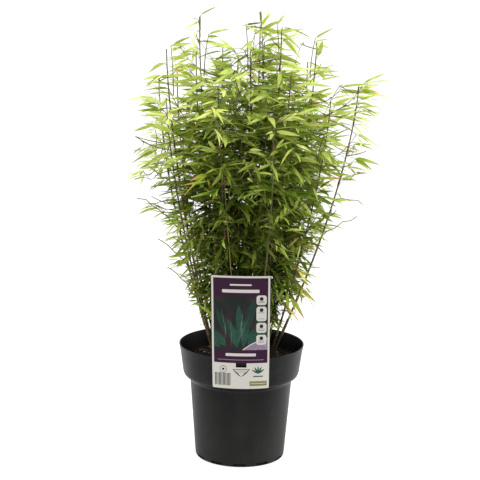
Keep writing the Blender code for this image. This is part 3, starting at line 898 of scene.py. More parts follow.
for _ in range(STALKS):
    root = (chance.uniform(*STALK_SIDES), STALK_FOOT + chance.uniform(*STALK_RISE))
    turn = chance.uniform(*STALK_TURNS)
    stalk = leaf_mask(*root, turn, chance.uniform(*STALK_LENGTHS), STALK_WIDTH)
    ground = mixed(tree, calculated(tree, "MULTIPLY", stalk, STALK_COVER), ground, STRAW)
haze = use_group(tree, uneven, Scale=110.0, Low=0.40, High=0.70)
ground = mixed(tree, calculated(tree, "MULTIPLY", haze, HAZE_COVER), ground, NIGHT_GREEN)
ink = mixed(tree, band_mask(*PICTURE), CREAM, ground)
print("stalks in the picture:", STALKS)

# %% Print the bands, the hill and the bars that stand for words
HEAD_BAND, FOOT_BAND = (146.0, 175.0), (41.0, 62.0)
HILL_X, HILL_Z, HILL_BAND = 58.0, -6.0, (41.0, 84.0)
HILL_SIZE, HILL_RIM = 86.6, 88.0
WORD_BARS, WORD_ROUND = ((-17, 17, 163, 165.5), (-29, 29, 152, 157), (-24, 24, 52, 56.5)), 1.2
THIN_BAR, THIN_ROUND = (-37, 37, 45.5, 46.7), 0.5

ink = mixed(tree, band_mask(*HEAD_BAND), ink, PLUM)
specks = use_group(tree, uneven, Scale=900.0, Low=0.60, High=0.64)
for size, tone in ((HILL_RIM, CREAM), (HILL_SIZE, mixed(tree, specks, LILAC, CREAM))):
    disc = box_mask(HILL_X - size, HILL_X + size, HILL_Z - size, HILL_Z + size, size)
    hill = calculated(tree, "MULTIPLY", disc, band_mask(*HILL_BAND))
    ink = mixed(tree, hill, ink, tone)
ink = mixed(tree, band_mask(*FOOT_BAND), ink, PLUM)
for bar in WORD_BARS:
    ink = mixed(tree, box_mask(*bar, WORD_ROUND), ink, CREAM)
ink = mixed(tree, box_mask(*THIN_BAR, THIN_ROUND), ink, LILAC)
print("bars:", len(WORD_BARS) + 1)

# %% Print the tiles with their signs
TILE_ROWS = ((78.0, 8.0), (97.0, 8.0), (119.0, 11.5), (140.5, 7.5))  # middle and half height
TILE_SIDES, TILE_ROUND = (24.5, 40.5), 4.0
DOT_SIDES, DOT_ROUND, DOT_UNDER = (29.5, 35.5), 3.0, (8.5, 2.5)  # its foot and top under the top
SIGN_SIDES, SIGN_HEIGHT, SIGN_ROUND = (27.5, 37.5), 1.3, 0.5
SIGN_UNDER, SIGN_OVER = 10.5, 3.0  # one sign under the tile's top, and one over its foot

for row, tall in TILE_ROWS:
    foot, top = row - tall, row + tall
    ink = mixed(tree, box_mask(*TILE_SIDES, foot, top, TILE_ROUND), ink, CREAM)
    dot = box_mask(*DOT_SIDES, top - DOT_UNDER[0], top - DOT_UNDER[1], DOT_ROUND)
    ink = mixed(tree, dot, ink, INK)
    for line in (top - SIGN_UNDER, foot + SIGN_OVER):
        sign = box_mask(*SIGN_SIDES, line, line + SIGN_HEIGHT, SIGN_ROUND)
        ink = mixed(tree, sign, ink, GREY)
print("tiles:", len(TILE_ROWS))

# %% Print an olive bar, a ring and a tuft of leaves
OLIVE_BAR, LINE_IN_BAR = (14, 42, 4.5, 12), (16, 40, 7.8, 8.7)
RING_X, RING_Z, RING_DISCS = -28, 31, ((5.6, INK), (4.9, CREAM), (1.9, INK))
TUFT_ROOT, TUFT_LEAF = (28, 24), (12.5, 2.6)  # where it stands, a leaf's length and width
TUFT_TURNS = ((36, SPRIG), (64, PINE), (92, SPRIG), (120, PINE), (148, SPRIG))
TUFT_BAR = (20, 36, 19, 20.6)

ink = mixed(tree, box_mask(*OLIVE_BAR), ink, OLIVE)
ink = mixed(tree, box_mask(*LINE_IN_BAR), ink, CREAM)
for size, tone in RING_DISCS:
    disc = box_mask(RING_X - size, RING_X + size, RING_Z - size, RING_Z + size, size)
    ink = mixed(tree, disc, ink, tone)
for degrees, tone in TUFT_TURNS:
    ink = mixed(tree, leaf_mask(*TUFT_ROOT, degrees, *TUFT_LEAF), ink, tone)
ink = mixed(tree, box_mask(*TUFT_BAR, THIN_ROUND), ink, PLUM)
print("leaves of the tuft:", len(TUFT_TURNS))

# %% Print a block of stripes, an arrowhead and two fine lines
STRIPE_BLOCK = (-42, -16, 5, 25)
STRIPE_WAVES = (2.9, 6.7)  # of the two waves that are added up, in radians per millimetre
STRIPE_FROM = -0.10  # where the sum is more than this, there is ink
ARROW_SIDES, ARROW_Z, ARROW_LEAF = ((-12.8, -42.0), (14.2, -138.0)), 31.0, (18.2, 1.9)
ARROW_BAR = (-12.8, 14.2, 30.4, 31.3)
LINE_FEET, LINE_SIDES, LINE_HEIGHT = (26.0, 28.2), (-7.0, 8.4), 0.8

across = put(tree, "ShaderNodeSeparateXYZ", {0: place}).outputs["X"]
waves = [
    calculated(tree, "SINE", calculated(tree, "MULTIPLY", across, wave)) for wave in STRIPE_WAVES
]
stripes = calculated(tree, "GREATER_THAN", calculated(tree, "ADD", *waves), STRIPE_FROM)
stripes = calculated(tree, "MULTIPLY", stripes, box_mask(*STRIPE_BLOCK))
ink = mixed(tree, stripes, ink, INK)
for x, degrees in ARROW_SIDES:
    ink = mixed(tree, leaf_mask(x, ARROW_Z, degrees, *ARROW_LEAF), ink, INK)
ink = mixed(tree, box_mask(*ARROW_BAR), ink, INK)
for foot in LINE_FEET:
    ink = mixed(tree, box_mask(*LINE_SIDES, foot, foot + LINE_HEIGHT), ink, GREY)
print("stripes:", STRIPE_BLOCK, "mm")

# %% Finishes of the card
SMOOTH_PRINT, WORN_PRINT = 0.26, 0.42  # roughness
BACK_CREAM = (0.50, 0.485, 0.44)

tree.links.new(ink, shader.inputs["Base Color"])
shader.inputs["Specular IOR Level"].default_value = 0.15
worn = use_group(tree, uneven, Scale=70.0, Low=0.4, High=0.8)
wear = calculated(tree, "MULTIPLY_ADD", worn, WORN_PRINT - SMOOTH_PRINT, SMOOTH_PRINT)
tree.links.new(wear, shader.inputs["Roughness"])
add_relief(tree, shader, use_group(tree, grain, Scale=900.0, Cells=0.2), 0.00003)

plain_finish, tree, shader = new_finish("plain_card", CREAM, 0.42)
toned = use_group(tree, uneven, Scale=50.0, Low=0.3, High=0.8)
tree.links.new(mixed(tree, toned, CREAM, BACK_CREAM), shader.inputs["Base Color"])
label_card = add_piece("label_card", card_mesh, card_finish, plain_finish)
dress(label_card, "label", "label")

# %% [markdown]
# ## Where the canes stand
#
# A bamboo grows as a clump: slim canes rise from one knot of roots, lean out, and turn upright
# again as they reach the light. A few stand clear of the crown. Their tips are named one by one,
# and the others follow a golden-angle spiral, the pattern of a sunflower's seeds, which spreads
# any number of canes evenly. Each cane's line comes from a formula with its own small sideways
# bow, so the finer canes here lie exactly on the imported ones. The seeds and the order of the
# draws are part of that rule.

# %% Choose where every cane ends
SEED = 11
INNER_CANES = 14
INNER_REACH = 0.140
INNER_TOP, INNER_DROP = 0.665, 0.085  # the outer ones end lower, by the drop
GOLDEN_ANGLE = math.radians(137.508)
ANGLE_STRAY, HEIGHT_STRAY = 0.15, 0.018
LEADER_TIPS = (
    (-0.074, 0.012, 0.700),
    (-0.122, -0.030, 0.652),
    (-0.138, 0.048, 0.606),
    (0.020, 0.020, 0.688),
    (0.052, -0.040, 0.680),
    (0.108, 0.012, 0.664),
    (0.172, -0.024, 0.600),
)


def cane_tips():
    """Where every cane ends: the leaders, then the inner canes."""
    tips = [Vector(tip) for tip in LEADER_TIPS]
    chance = random.Random(SEED)
    for index in range(INNER_CANES):
        share = math.sqrt((index + 0.5) / INNER_CANES)
        angle = index * GOLDEN_ANGLE + chance.uniform(-ANGLE_STRAY, ANGLE_STRAY)
        height = INNER_TOP - INNER_DROP * share**2
        height += chance.uniform(-HEIGHT_STRAY, HEIGHT_STRAY)
        reach = INNER_REACH * share
        tips.append(Vector((reach * math.cos(angle), reach * math.sin(angle), height)))
    return tips


ends_of_canes = cane_tips()
print("canes:", len(ends_of_canes), "of which leaders:", len(LEADER_TIPS))

# %% Draw the canes' lines
CLUMP_RADIUS = 0.046
FOOT_GATHER = 0.8  # inner canes rise nearer to the middle than their tips stand, by this power
CANE_BEND = 1.5
SWAY = 0.009
CANE_STEPS = 7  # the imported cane's straight pieces
CANE_FOOT_RADIUS, CANE_TIP_RADIUS = 0.0020, 0.0008


class CaneLine:
    """The middle line of a cane: it leans out from its foot and turns upright near its tip."""

    def __init__(self, tip, chance):
        spread = math.hypot(tip.x, tip.y)
        foot_radius = CLUMP_RADIUS * min(1.0, spread / INNER_REACH) ** FOOT_GATHER
        self.foot = Vector((tip.x, tip.y, 0.0)) * foot_radius / spread
        self.foot.z = MIX_LEVEL + CLEAR
        self.tip = tip
        sideways = Vector((-tip.y, tip.x, 0.0)).normalized()
        self.bow = sideways * chance.uniform(-SWAY, SWAY)
        self.coarse = [self.at(step / CANE_STEPS) for step in range(CANE_STEPS + 1)]
        self.length = sum((b - a).length for a, b in zip(self.coarse, self.coarse[1:]))

    def at(self, rise):
        """The point at a share of the cane's height."""
        rise = min(rise, 1.0)
        point = self.foot.lerp(self.tip, 1.0 - (1.0 - rise) ** CANE_BEND)
        point += self.bow * math.sin(math.pi * rise)
        point.z = self.foot.z + (self.tip.z - self.foot.z) * rise
        return point

    def near(self, rise):
        """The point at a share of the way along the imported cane's straight pieces."""
        where = rise * CANE_STEPS
        step = min(int(where), CANE_STEPS - 1)
        return self.coarse[step].lerp(self.coarse[step + 1], where - step)


def cane_radius(rise):
    """A cane's radius at a share of its height, between its joints."""
    return CANE_FOOT_RADIUS + (CANE_TIP_RADIUS - CANE_FOOT_RADIUS) * rise


chance = random.Random(SEED)
canes = [CaneLine(tip, chance) for tip in ends_of_canes]
print("longest cane:", round(max(cane.length for cane in canes), 3), "m")

# %% [markdown]
# ## Canes
#
# A bamboo cane is a slim tube, jointed every five centimetres. Each joint has a raised ridge, a
# narrow neck above it and a pale bloom below. A cylinder with rings stuck on it would show hard
# edges, so a cane is a curve whose radius changes at every point, and Blender sweeps a round
# section along it. Old sheaths cling to some of the joints as brown papery sleeves.

# %% Helper that sweeps round limbs


def swept(name, lines, sides):
    """Round limbs along the lines as one mesh. A line is a list of (point, radius)."""
    curve = bpy.data.curves.new(name, "CURVE")
    curve.dimensions = "3D"
    curve.bevel_depth = 1.0
    curve.bevel_resolution = sides // 2 - 2
    curve.use_fill_caps = True
    for line in lines:
        spline = curve.splines.new("POLY")
        spline.points.add(len(line) - 1)
        for knot, (point, radius) in zip(spline.points, line):
            knot.co = (*point, 1.0)
            knot.radius = radius
    holder = bpy.data.objects.new(name, curve)
    bpy.context.scene.collection.objects.link(holder)
    mesh = applied(holder)
    bpy.data.objects.remove(holder)
    mesh.materials.clear()
    mesh.name = name
    return mesh


# %% Draw the joints, the bloom and the sheaths
INTERNODE = 0.050
RIDGE, NECK = 1.32, 0.94  # as shares of the radius
JOINT_RINGS = ((-0.0014, 1.0), (-0.0004, RIDGE), (0.0004, RIDGE), (0.0016, NECK))
BLOOM_FROM, BLOOM_WIDTH = 0.0014, 0.0030  # below the joint
BLOOM_PROUD = 0.00006
SHEATHED_SHARE = 0.3
SHEATH_RINGS = ((0.0006, 0.0005), (0.010, 0.00045), (0.022, 0.00015))  # above, and how proud
MIX_SINK = 0.004


def cane_details(cane, chance):
    """The line of one cane, and short lines for its bands of bloom and its sheaths."""
    foot = cane.at(0.0) - UP * MIX_SINK
    line, bloom, sheaths = [(foot, cane_radius(0.0))], [], []
    joints = int(cane.length / INTERNODE)
    for joint in range(1, joints + 1):
        rise = joint * INTERNODE / cane.length
        middle = rise - 0.5 * INTERNODE / cane.length
        radius = cane_radius(rise)
        line.append((cane.at(middle), cane_radius(middle)))
        for step, swell in JOINT_RINGS:
            line.append((cane.at(rise + step / cane.length), radius * swell))
        under = [rise - (BLOOM_FROM + reach) / cane.length for reach in (BLOOM_WIDTH, 0.0)]
        bloom.append([(cane.at(place), cane_radius(place) + BLOOM_PROUD) for place in under])
        if chance.random() < SHEATHED_SHARE:
            above = [(rise + step / cane.length, proud) for step, proud in SHEATH_RINGS]
            sheaths.append([(cane.at(place), cane_radius(place) + proud) for place, proud in above])
    line.append((cane.tip, CANE_TIP_RADIUS))
    return line, bloom, sheaths


chance = random.Random(SEED)
cane_lines, bloom_lines, sheath_lines = [], [], []
for cane in canes:
    line, bloom, sheaths = cane_details(cane, chance)
    cane_lines.append(line)
    bloom_lines += bloom
    sheath_lines += sheaths
print("joints:", len(bloom_lines), "sheaths:", len(sheath_lines))

# %% Sweep the canes, their bloom and their sheaths
ROUND_SIDES = 8

cane_mesh = swept("cane_stalks", cane_lines, ROUND_SIDES)
bloom_mesh = swept("joint_bloom", bloom_lines, ROUND_SIDES)
sheath_mesh = swept("cane_sheaths", sheath_lines, ROUND_SIDES)
print("faces of the canes:", len(cane_mesh.polygons))

# %% [markdown]
# ### Skin of the canes
#
# Young canes of this bamboo are olive, and they turn plum and then nearly black where the sun
# reaches them. The colour changes up the cane and from cane to cane, so it is noise in the
# object's own space, stretched along Z. A colour for each cane would be simpler, but then a cane
# would be one tone from foot to tip. The skin is waxy, which a low roughness gives, and faint
# lines run along it. The bloom, the sheaths and the wood of the crown share the recipe.

# %% Finishes of the canes, the bloom and the sheaths


def skin_finish(name, shade, sunned, roughness, scale):
    """A waxy skin that wanders between two colours along the cane."""
    finish, tree, shader = new_finish(name, sunned, roughness)
    drift = use_group(tree, uneven, Stretch=(1.0, 1.0, 0.25), Scale=scale, Low=0.36, High=0.62)
    tree.links.new(mixed(tree, drift, shade, sunned), shader.inputs["Base Color"])
    shader.inputs["Specular IOR Level"].default_value = 0.25
    lines = use_group(tree, uneven, Stretch=(1.0, 1.0, 0.05), Scale=1800.0, Low=0.2, High=0.8)
    add_relief(tree, shader, lines, 0.00006)
    return finish


cane_finish = skin_finish("cane_skin", (0.105, 0.090, 0.030), (0.035, 0.021, 0.014), 0.4, 18.0)
bloom_finish = skin_finish("cane_bloom", (0.16, 0.15, 0.10), (0.075, 0.060, 0.055), 0.8, 60.0)
sheath_finish = skin_finish("dry_sheath", (0.20, 0.12, 0.045), (0.085, 0.035, 0.020), 0.75, 80.0)
cane_nodes = sorted(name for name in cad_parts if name.startswith("cane_"))
dress(add_piece("cane_stalks", cane_mesh, cane_finish), "canes", *cane_nodes)
dress(add_piece("joint_bloom", bloom_mesh, bloom_finish), "canes")
dress(add_piece("cane_sheaths", sheath_mesh, sheath_finish), "canes")

# %% [markdown]
# ## The room for the crown
#
# The foliage could be scattered over a sphere, but then it would look clipped. Instead the crown
# has an outline: how far leaf tips reach to the left and right at each height. Side branches
# grow from the joints of the canes, and the plan picks those that stand furthest apart, so each
# has a room of its own: the part of the crown nearest to its middle. This is the same plan as
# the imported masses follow, so every branch here starts where its solid does.

# %% The outline, and what lies inside it
OUTLINE = (  # height, reach to the left and reach to the right
    (0.215, 0.072, 0.080),
    (0.280, 0.112, 0.126),
    (0.360, 0.146, 0.158),
    (0.440, 0.203, 0.180),
    (0.500, 0.195, 0.208),
    (0.585, 0.188, 0.224),
    (0.625, 0.145, 0.172),
    (0.680, 0.105, 0.112),
    (0.716, 0.075, 0.080),
)
CROWN_DEPTH = 0.92  # from front to back, as a share of its width
LABEL_CLEAR = 0.012
HEIGHTS, LEFTS, RIGHTS = (np.array(column) for column in zip(*OUTLINE))


def crown_share(points):
    """How far out each point lies, as a share of the crown's reach there: 1 is its skin."""
    x, y, z = np.atleast_2d(points).T
    left, right = np.interp(z, HEIGHTS, LEFTS), np.interp(z, HEIGHTS, RIGHTS)
    across = np.where(x > 0.0, right, left)
    depth = CROWN_DEPTH * (left + right) / 2
    share = np.hypot(x / across, y / depth)
    return np.where((z > HEIGHTS[0]) & (z < HEIGHTS[-1]), share, np.inf)


def near_label(points):
    """Whether each point lies in front of the pot where the label hangs."""
    x, y, z = np.atleast_2d(points).T
    beside = np.abs(x) < CARD_WIDTH / 2 + LABEL_CLEAR
    return beside & (y < -LIP_RADIUS + LABEL_CLEAR) & (z < CARD_TOP + LABEL_CLEAR)


print("crown:", HEIGHTS[0], "to", HEIGHTS[-1], "m, widest", round((LEFTS + RIGHTS).max(), 3), "m")


# %% Helpers that turn a thing and draw a plain limb
NEARLY_NOTHING = 1e-4


def facing(direction, face=UP):
    """A turn whose Z runs along the direction and whose Y leans towards face."""
    z_axis = direction.normalized()
    x_axis = face.cross(z_axis)
    if x_axis.length < NEARLY_NOTHING:
        x_axis = Vector((0.0, 1.0, 0.0)).cross(z_axis)
    x_axis.normalize()
    return Matrix((x_axis, z_axis.cross(x_axis), z_axis)).transposed()


def limb(points, radii, sides, flat_foot=False):
    """A closed tapering limb along the points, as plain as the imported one."""
    bm = bmesh.new()
    last = len(points) - 1
    below = None
    for index, (point, radius) in enumerate(zip(points, radii)):
        run = points[min(index + 1, last)] - points[max(index - 1, 0)]
        turn = facing(UP if flat_foot and index == 0 else run, Vector((0.0, 1.0, 0.0)))
        ring = bmesh.ops.create_circle(
            bm,
            segments=sides,
            radius=radius,
            cap_ends=index in (0, last),
            matrix=Matrix.Translation(point) @ turn.to_4x4(),
        )
        edges = list({edge for vert in ring["verts"] for edge in vert.link_edges})
        if below:
            bmesh.ops.bridge_loops(bm, edges=below + edges)
        below = edges
    return bm


# %% Helpers that grow a side branch and see whether it fits
STEM_LENGTH = 0.046
STEM_STEPS = 2
STEM_RADIUS, STEM_TIP_RADIUS = 0.0013, 0.0009
STEM_RISE = (0.2, 0.9)
CANE_RUN = 0.02  # the cane's direction is taken over this share to both sides of the joint
OWN_CANE = 0.3  # this share of the first step is too near its own cane to be tried
END_ROOM = 0.2  # a stem this share longer must still end inside the crown
TRIAL_SIDES = 3


def grow_stem(cane, rise, bearing, chance):
    """The side branch of a mass: square out from its cane, then bending upwards."""
    seat = cane.near(rise)
    run = (cane.near(min(1.0, rise + CANE_RUN)) - cane.near(rise - CANE_RUN)).normalized()
    direction = (bearing - run * bearing.dot(run)).normalized()
    rising = (direction + UP * chance.uniform(*STEM_RISE)).normalized()
    stem = [seat + direction * (cane_radius(rise) + CLEAR)]
    for step in range(1, STEM_STEPS + 1):
        heading = direction.lerp(rising, step / STEM_STEPS).normalized()
        stem.append(stem[-1] + heading * STEM_LENGTH / STEM_STEPS)
    return stem


def stem_fits(stem, limbs):
    """Whether a stem ends well inside the crown and passes clear of the other canes."""
    beyond = stem[-1] + (stem[-1] - stem[0]) * END_ROOM
    if crown_share(beyond)[0] >= 1.0 or near_label(stem[-1])[0]:
        return False
    clear_of_own = stem[0].lerp(stem[1], OWN_CANE)
    trial = limb([clear_of_own, *stem[1:]], [STEM_RADIUS] * len(stem), TRIAL_SIDES)
    hits = BVHTree.FromBMesh(trial).overlap(limbs)
    trial.free()
    return not hits


# %% Plan the side branches
MASSES = 36
MASS_SPACING = 0.060
LOWEST_BRANCH = 0.245
BRANCH_TURNS, TURN_STRAY = (0.6, 1.4, 2.4), 0.3
CENTRE_SHARE = 0.5
CANE_SIDES = 5
LIMB_MARGIN = 0.0008


def plan_masses(canes, limbs):
    """The stem of every mass and the centre of its room, spread evenly through the crown."""
    chance = random.Random(SEED)
    chosen, waiting = [], []
    for number, cane in enumerate(canes):
        joints = int(cane.length / INTERNODE)
        side = chance.choice((-1.0, 1.0))
        for joint in range(1, joints + 1):
            rise = joint * INTERNODE / cane.length
            seat = cane.near(rise)
            side = -side
            outward = Vector((seat.x, seat.y, 0.0)).normalized()
            for turn in BRANCH_TURNS:
                turn = side * (turn + chance.uniform(-TURN_STRAY, TURN_STRAY))
                bearing = Matrix.Rotation(turn, 3, "Z") @ outward
                stem = grow_stem(cane, rise, bearing, chance)
                if seat.z > LOWEST_BRANCH and stem_fits(stem, limbs):
                    centre = stem[0].lerp(stem[-1], CENTRE_SHARE)
                    apart = all((centre - other[1]).length > MASS_SPACING for other in chosen)
                    topmost = joint == joints and number < len(LEADER_TIPS)
                    (chosen if topmost and apart else waiting).append((stem, centre))
                    break
    while len(chosen) < MASSES:
        room = [min((place[1] - other[1]).length for other in chosen) for place in waiting]
        chosen.append(waiting.pop(room.index(max(room))))
    return chosen


swollen = bmesh.new()
for cane in canes:
    radii = [cane_radius(step / CANE_STEPS) + LIMB_MARGIN for step in range(CANE_STEPS + 1)]
    swollen.from_mesh(mesh_from("swollen_cane", limb(cane.coarse, radii, CANE_SIDES, True)))
masses = plan_masses(canes, BVHTree.FromBMesh(swollen))
swollen.free()
astray = [
    (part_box(f"foliage_{number:02d}")[0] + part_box(f"foliage_{number:02d}")[1]) / 2 - centre
    for number, (_, centre) in enumerate(masses, start=1)
]
print("masses:", len(masses), "furthest from its solid:", max(gap.length for gap in astray))

# %% [markdown]
# ## Twigs
#
# A side branch of bamboo forks again and again into twigs as thin as wire, and each of them ends
# in a small fan of leaves. The ends come first: places are tried at random and kept only if they
# stand clear of the others, which fills the body of the crown evenly with no grid to be seen.
# Then each end is joined to the nearest wood of its own mass that lies below it, so that twigs
# branch the way they grow, outwards and up. Growing them step by step from the branch would be
# closer to nature, but it leaves holes that are hard to fill. Long shoots reach further out than
# the twigs, and where the crown's side must be ragged, the tips of the shoots are written down.

# %% Helper that spreads places through the crown
LEAN = ((0.32, 0.40, 0.48, 0.56), (0.0, 0.010, 0.008, 0.001))  # to the right, by height
TOP_OF_ENDS = 0.688  # only the canes' own tips stand higher


def spread_places(count, nearest, furthest, gap, seed):
    """Places tried at random in the crown and kept if clear of the others.

    nearest and furthest bound each place's share of the crown's reach, and gap is how far
    apart places stay. Each is given for the heights of the tries.
    """
    dice = np.random.default_rng(seed)
    depth = CROWN_DEPTH * (LEFTS + RIGHTS).max() / 2
    low = (-LEFTS.max(), -depth, HEIGHTS[0])
    high = (RIGHTS.max(), depth, HEIGHTS[-1])
    tries = dice.uniform(low, high, (count, 3))
    height = tries[:, 2]
    share = crown_share(tries - np.outer(np.interp(height, *LEAN), (1.0, 0.0, 0.0)))
    fits = (share > nearest(height)) & (share < furthest(height)) & (height < TOP_OF_ENDS)
    fits &= ~near_label(tries)
    kept = np.empty((0, 3))
    for place, room in zip(tries[fits], gap(share[fits], height[fits])):
        if not len(kept) or np.linalg.norm(kept - place, axis=1).min() > room:
            kept = np.append(kept, place[None], axis=0)
    return kept


# %% Choose where the twigs end
TWIG_SEED = 7
END_TRIES = 60000
END_SPACING = ((0.215, 0.36, 0.53, 0.60, 0.66), (0.0128, 0.0137, 0.0148, 0.0190, 0.0215))
HEART_SPACING = ((0.20, 0.42), (0.83, 1.0))  # ends stand closer in the heart of the crown
BODY_HEIGHTS = (0.215, 0.30, 0.38, 0.56, 0.60, 0.64, 0.70)
BODY_SHARE = (BODY_HEIGHTS, (0.52, 0.56, 0.52, 0.50, 0.35, 0.13, 0.0))
BODY_EDGE = 0.12  # beyond the body by this share, the ends thin out to nothing


def end_gap(share, height):
    """How far apart twig ends stand: closer in the heart, wider beyond the crown's body."""
    beyond = np.clip((share - np.interp(height, *BODY_SHARE)) / BODY_EDGE, 0.0, 1.0)
    heart = np.interp(share, *HEART_SPACING)
    return np.interp(height, *END_SPACING) * heart * (1.0 + beyond)


ends = spread_places(
    END_TRIES,
    lambda height: 0.0,
    lambda height: np.interp(height, *BODY_SHARE) + BODY_EDGE,
    end_gap,
    TWIG_SEED,
)
print("twig ends:", len(ends))

# %% Choose where the long shoots end
SHOOT_SPACING = 0.066
SHOOT_REACH = (0.64, 0.86)  # how far out a long shoot may end
TOP_HEIGHTS = (0.60, 0.66)  # between these heights, long shoots come to end anywhere
FREE_TIPS = (  # ends that stand out at the sides, and the way their leaves point
    ((-0.140, -0.020, 0.578), (-0.99, -0.15, -0.12)),
    ((-0.145, -0.010, 0.502), (-0.96, -0.15, -0.29)),
    ((-0.158, -0.020, 0.465), (-0.85, -0.15, -0.53)),
    ((-0.135, -0.030, 0.415), (-1.00, -0.15, -0.02)),
    ((-0.104, -0.030, 0.369), (-0.99, -0.15, 0.11)),
    ((0.179, -0.020, 0.604), (0.86, -0.15, 0.50)),
    ((0.146, -0.030, 0.601), (0.96, -0.15, 0.28)),
    ((0.176, -0.010, 0.574), (1.00, -0.15, 0.02)),
    ((0.172, -0.020, 0.528), (0.90, -0.15, -0.43)),
    ((0.170, -0.030, 0.491), (0.92, -0.15, -0.39)),
    ((0.122, -0.020, 0.383), (0.98, -0.15, -0.18)),
)

shoot_tips = spread_places(
    END_TRIES,
    lambda height: np.interp(height, TOP_HEIGHTS, (SHOOT_REACH[0], 0.0)),
    lambda height: SHOOT_REACH[1],
    lambda share, height: np.full(len(share), SHOOT_SPACING),
    TWIG_SEED,
)
shoot_tips = np.append(shoot_tips, [tip for tip, _ in FREE_TIPS], axis=0)
print("long shoots:", len(shoot_tips), "of which stand free:", len(FREE_TIPS))

# %% Helpers that join an end to the wood below it
RUN_COST = 1.6  # of each metre of twig, less the cosine of its turn away from the growth
TOO_NEAR = 10.0  # cost of wood that is nearer than it may be
SHORTEST_SPAN = 1e-6


def nearest_mass(places):
    """The number of the mass whose middle is nearest to each place."""
    return np.linalg.norm(places[:, None] - centres[None], axis=2).argmin(axis=1)


def outward_from_clump(place):
    """The level direction away from the middle of the clump."""
    return Vector((place.x, place.y, 0.0)).normalized()


def curved(start, control, end, steps):
    """Points along a quadratic curve."""
    shares = [step / steps for step in range(steps + 1)]
    return [start.lerp(control, s).lerp(control.lerp(end, s), s) for s in shares]


def wood_below(place, growth, wood, shortest=0.0):
    """The point of wood that a twig to this place is best grown from, and its heading."""

    def cost(item):
        span = place - item[0]
        reach = max(span.length, SHORTEST_SPAN)
        too_near = TOO_NEAR if reach < shortest else 0.0
        return reach * (RUN_COST - span.dot(growth) / reach) + too_near

    return min(wood, key=cost)


# %% Grow the twigs and the long shoots
TWIG_STEPS = 4
TWIG_BEND = 0.45  # how far a twig keeps to its parent's direction, as a share of its run
UPRIGHT = 1.7  # how strongly twigs seek the sky, against growing outwards
SHOOT_UPRIGHT = 0.6  # and how much less the long shoots do
SHOOT_RUN = 0.060  # a long shoot starts at least this far from its tip
SHOOT_LEAN, SHOOT_BEND = 0.45, 0.5
SHOOT_STEPS = 8
STEM_FORKS = (0.25, 0.5, 0.75, 1.0)


def grow_twigs(stem, places, tips):
    """The twigs and the long shoots of one mass, as lists of points."""
    run = (stem[-1] - stem[0]).normalized()
    wood = [(stem[0].lerp(stem[-1], share), run) for share in STEM_FORKS]
    twigs, shoots = [], []
    for place in sorted(places, key=lambda place: (place - stem[-1]).length):
        growth = (outward_from_clump(place) + UP * UPRIGHT).normalized()
        start, heading = wood_below(place, growth, wood)
        control = start + (heading + growth).normalized() * (place - start).length * TWIG_BEND
        twigs.append(curved(start, control, place, TWIG_STEPS))
        points = twigs[-1]
        wood += [(b, (b - a).normalized()) for a, b in zip(points, points[1:])]
    for tip in tips:
        growth = (outward_from_clump(tip) + UP * UPRIGHT * SHOOT_UPRIGHT).normalized()
        start, _ = wood_below(tip, growth, wood, SHOOT_RUN)
        rising = (outward_from_clump(tip) * SHOOT_LEAN + UP).normalized()
        control = tip - rising * (tip - start).length * SHOOT_BEND
        shoots.append(curved(start, control, tip, SHOOT_STEPS))
    return twigs, shoots


centres = np.array([centre for _, centre in masses])
twigs, long_shoots = [], []
end_owner, tip_owner = nearest_mass(ends), nearest_mass(shoot_tips)
for number, (stem, _) in enumerate(masses):
    places = [Vector(place) for place in ends[end_owner == number]]
    tips = [Vector(place) for place in shoot_tips[tip_owner == number]]
    made, shoots = grow_twigs(stem, places, tips)
    twigs += made
    long_shoots += shoots
print("twigs:", len(twigs), "long shoots:", len(long_shoots))

# %% [markdown]
# ### Tiers on the shoots
#
# Long shoots carry their leaves in tiers: at each joint a short spur leaves the shoot, to the
# left and to the right in turn, and opens into a few leaves. Tiers are what give the top and
# the sides of a bamboo their layered look, so the canes' own tops get them too.

# %% Grow the spurs
TIER_SEED = 37
TIER_STEP = 0.0155
SPUR_LENGTH = (0.005, 0.016)
SPUR_TURN, SPUR_STRAY = 1.1, 0.45  # turn away from the way out of the crown, in radians
SPUR_RISE = 0.7
SPUR_STEPS = 2
SHOOT_LEAFY = 0.85  # the share of a long shoot that carries tiers
CANE_LEAFY = 1.02  # a cane's line is a little longer than its rise
CANE_POINTS = 40
FIRST_TIER, TIER_STRAY = (0.5, 1.0), (0.8, 1.25)  # as shares of the step
TIP_SPUR, DEEP_SPUR = 0.7, 0.6  # a spur's size near the tip, and what it gains towards the foot
SPUR_FOLLOWS = 0.5  # how much a spur starts out along its shoot
LEADER_TIERS_FROM, CANE_TIERS_FROM = 0.41, 0.27  # heights above which they carry tiers


def along(points, distance):
    """The point at a distance from the end of a line, and the line's direction there."""
    for after, before in zip(points[::-1], points[-2::-1]):
        length = (after - before).length
        if distance <= length:
            return after.lerp(before, distance / length), (after - before).normalized()
        distance -= length
    return points[0], (points[1] - points[0]).normalized()


def grow_tiers(points, leafy_run, chance):
    """Short spurs along the last part of a line."""
    spurs = []
    side = chance.choice((-1.0, 1.0))
    distance = TIER_STEP * chance.uniform(*FIRST_TIER)
    while distance < leafy_run:
        root, run = along(points, distance)
        side = -side
        turn = side * (SPUR_TURN + chance.gauss(0.0, SPUR_STRAY))
        bearing = Matrix.Rotation(turn, 3, "Z") @ outward_from_clump(root)
        heading = (bearing + run * SPUR_RISE).normalized()
        size = TIP_SPUR + DEEP_SPUR * distance / leafy_run
        reach = chance.uniform(*SPUR_LENGTH) * size
        end = root + heading * reach
        if crown_share(end)[0] < 1.0:
            bend = root + (heading + run * SPUR_FOLLOWS).normalized() * reach * 0.5
            spurs.append(curved(root, bend, end, SPUR_STEPS))
        distance += TIER_STEP * chance.uniform(*TIER_STRAY)
    return spurs


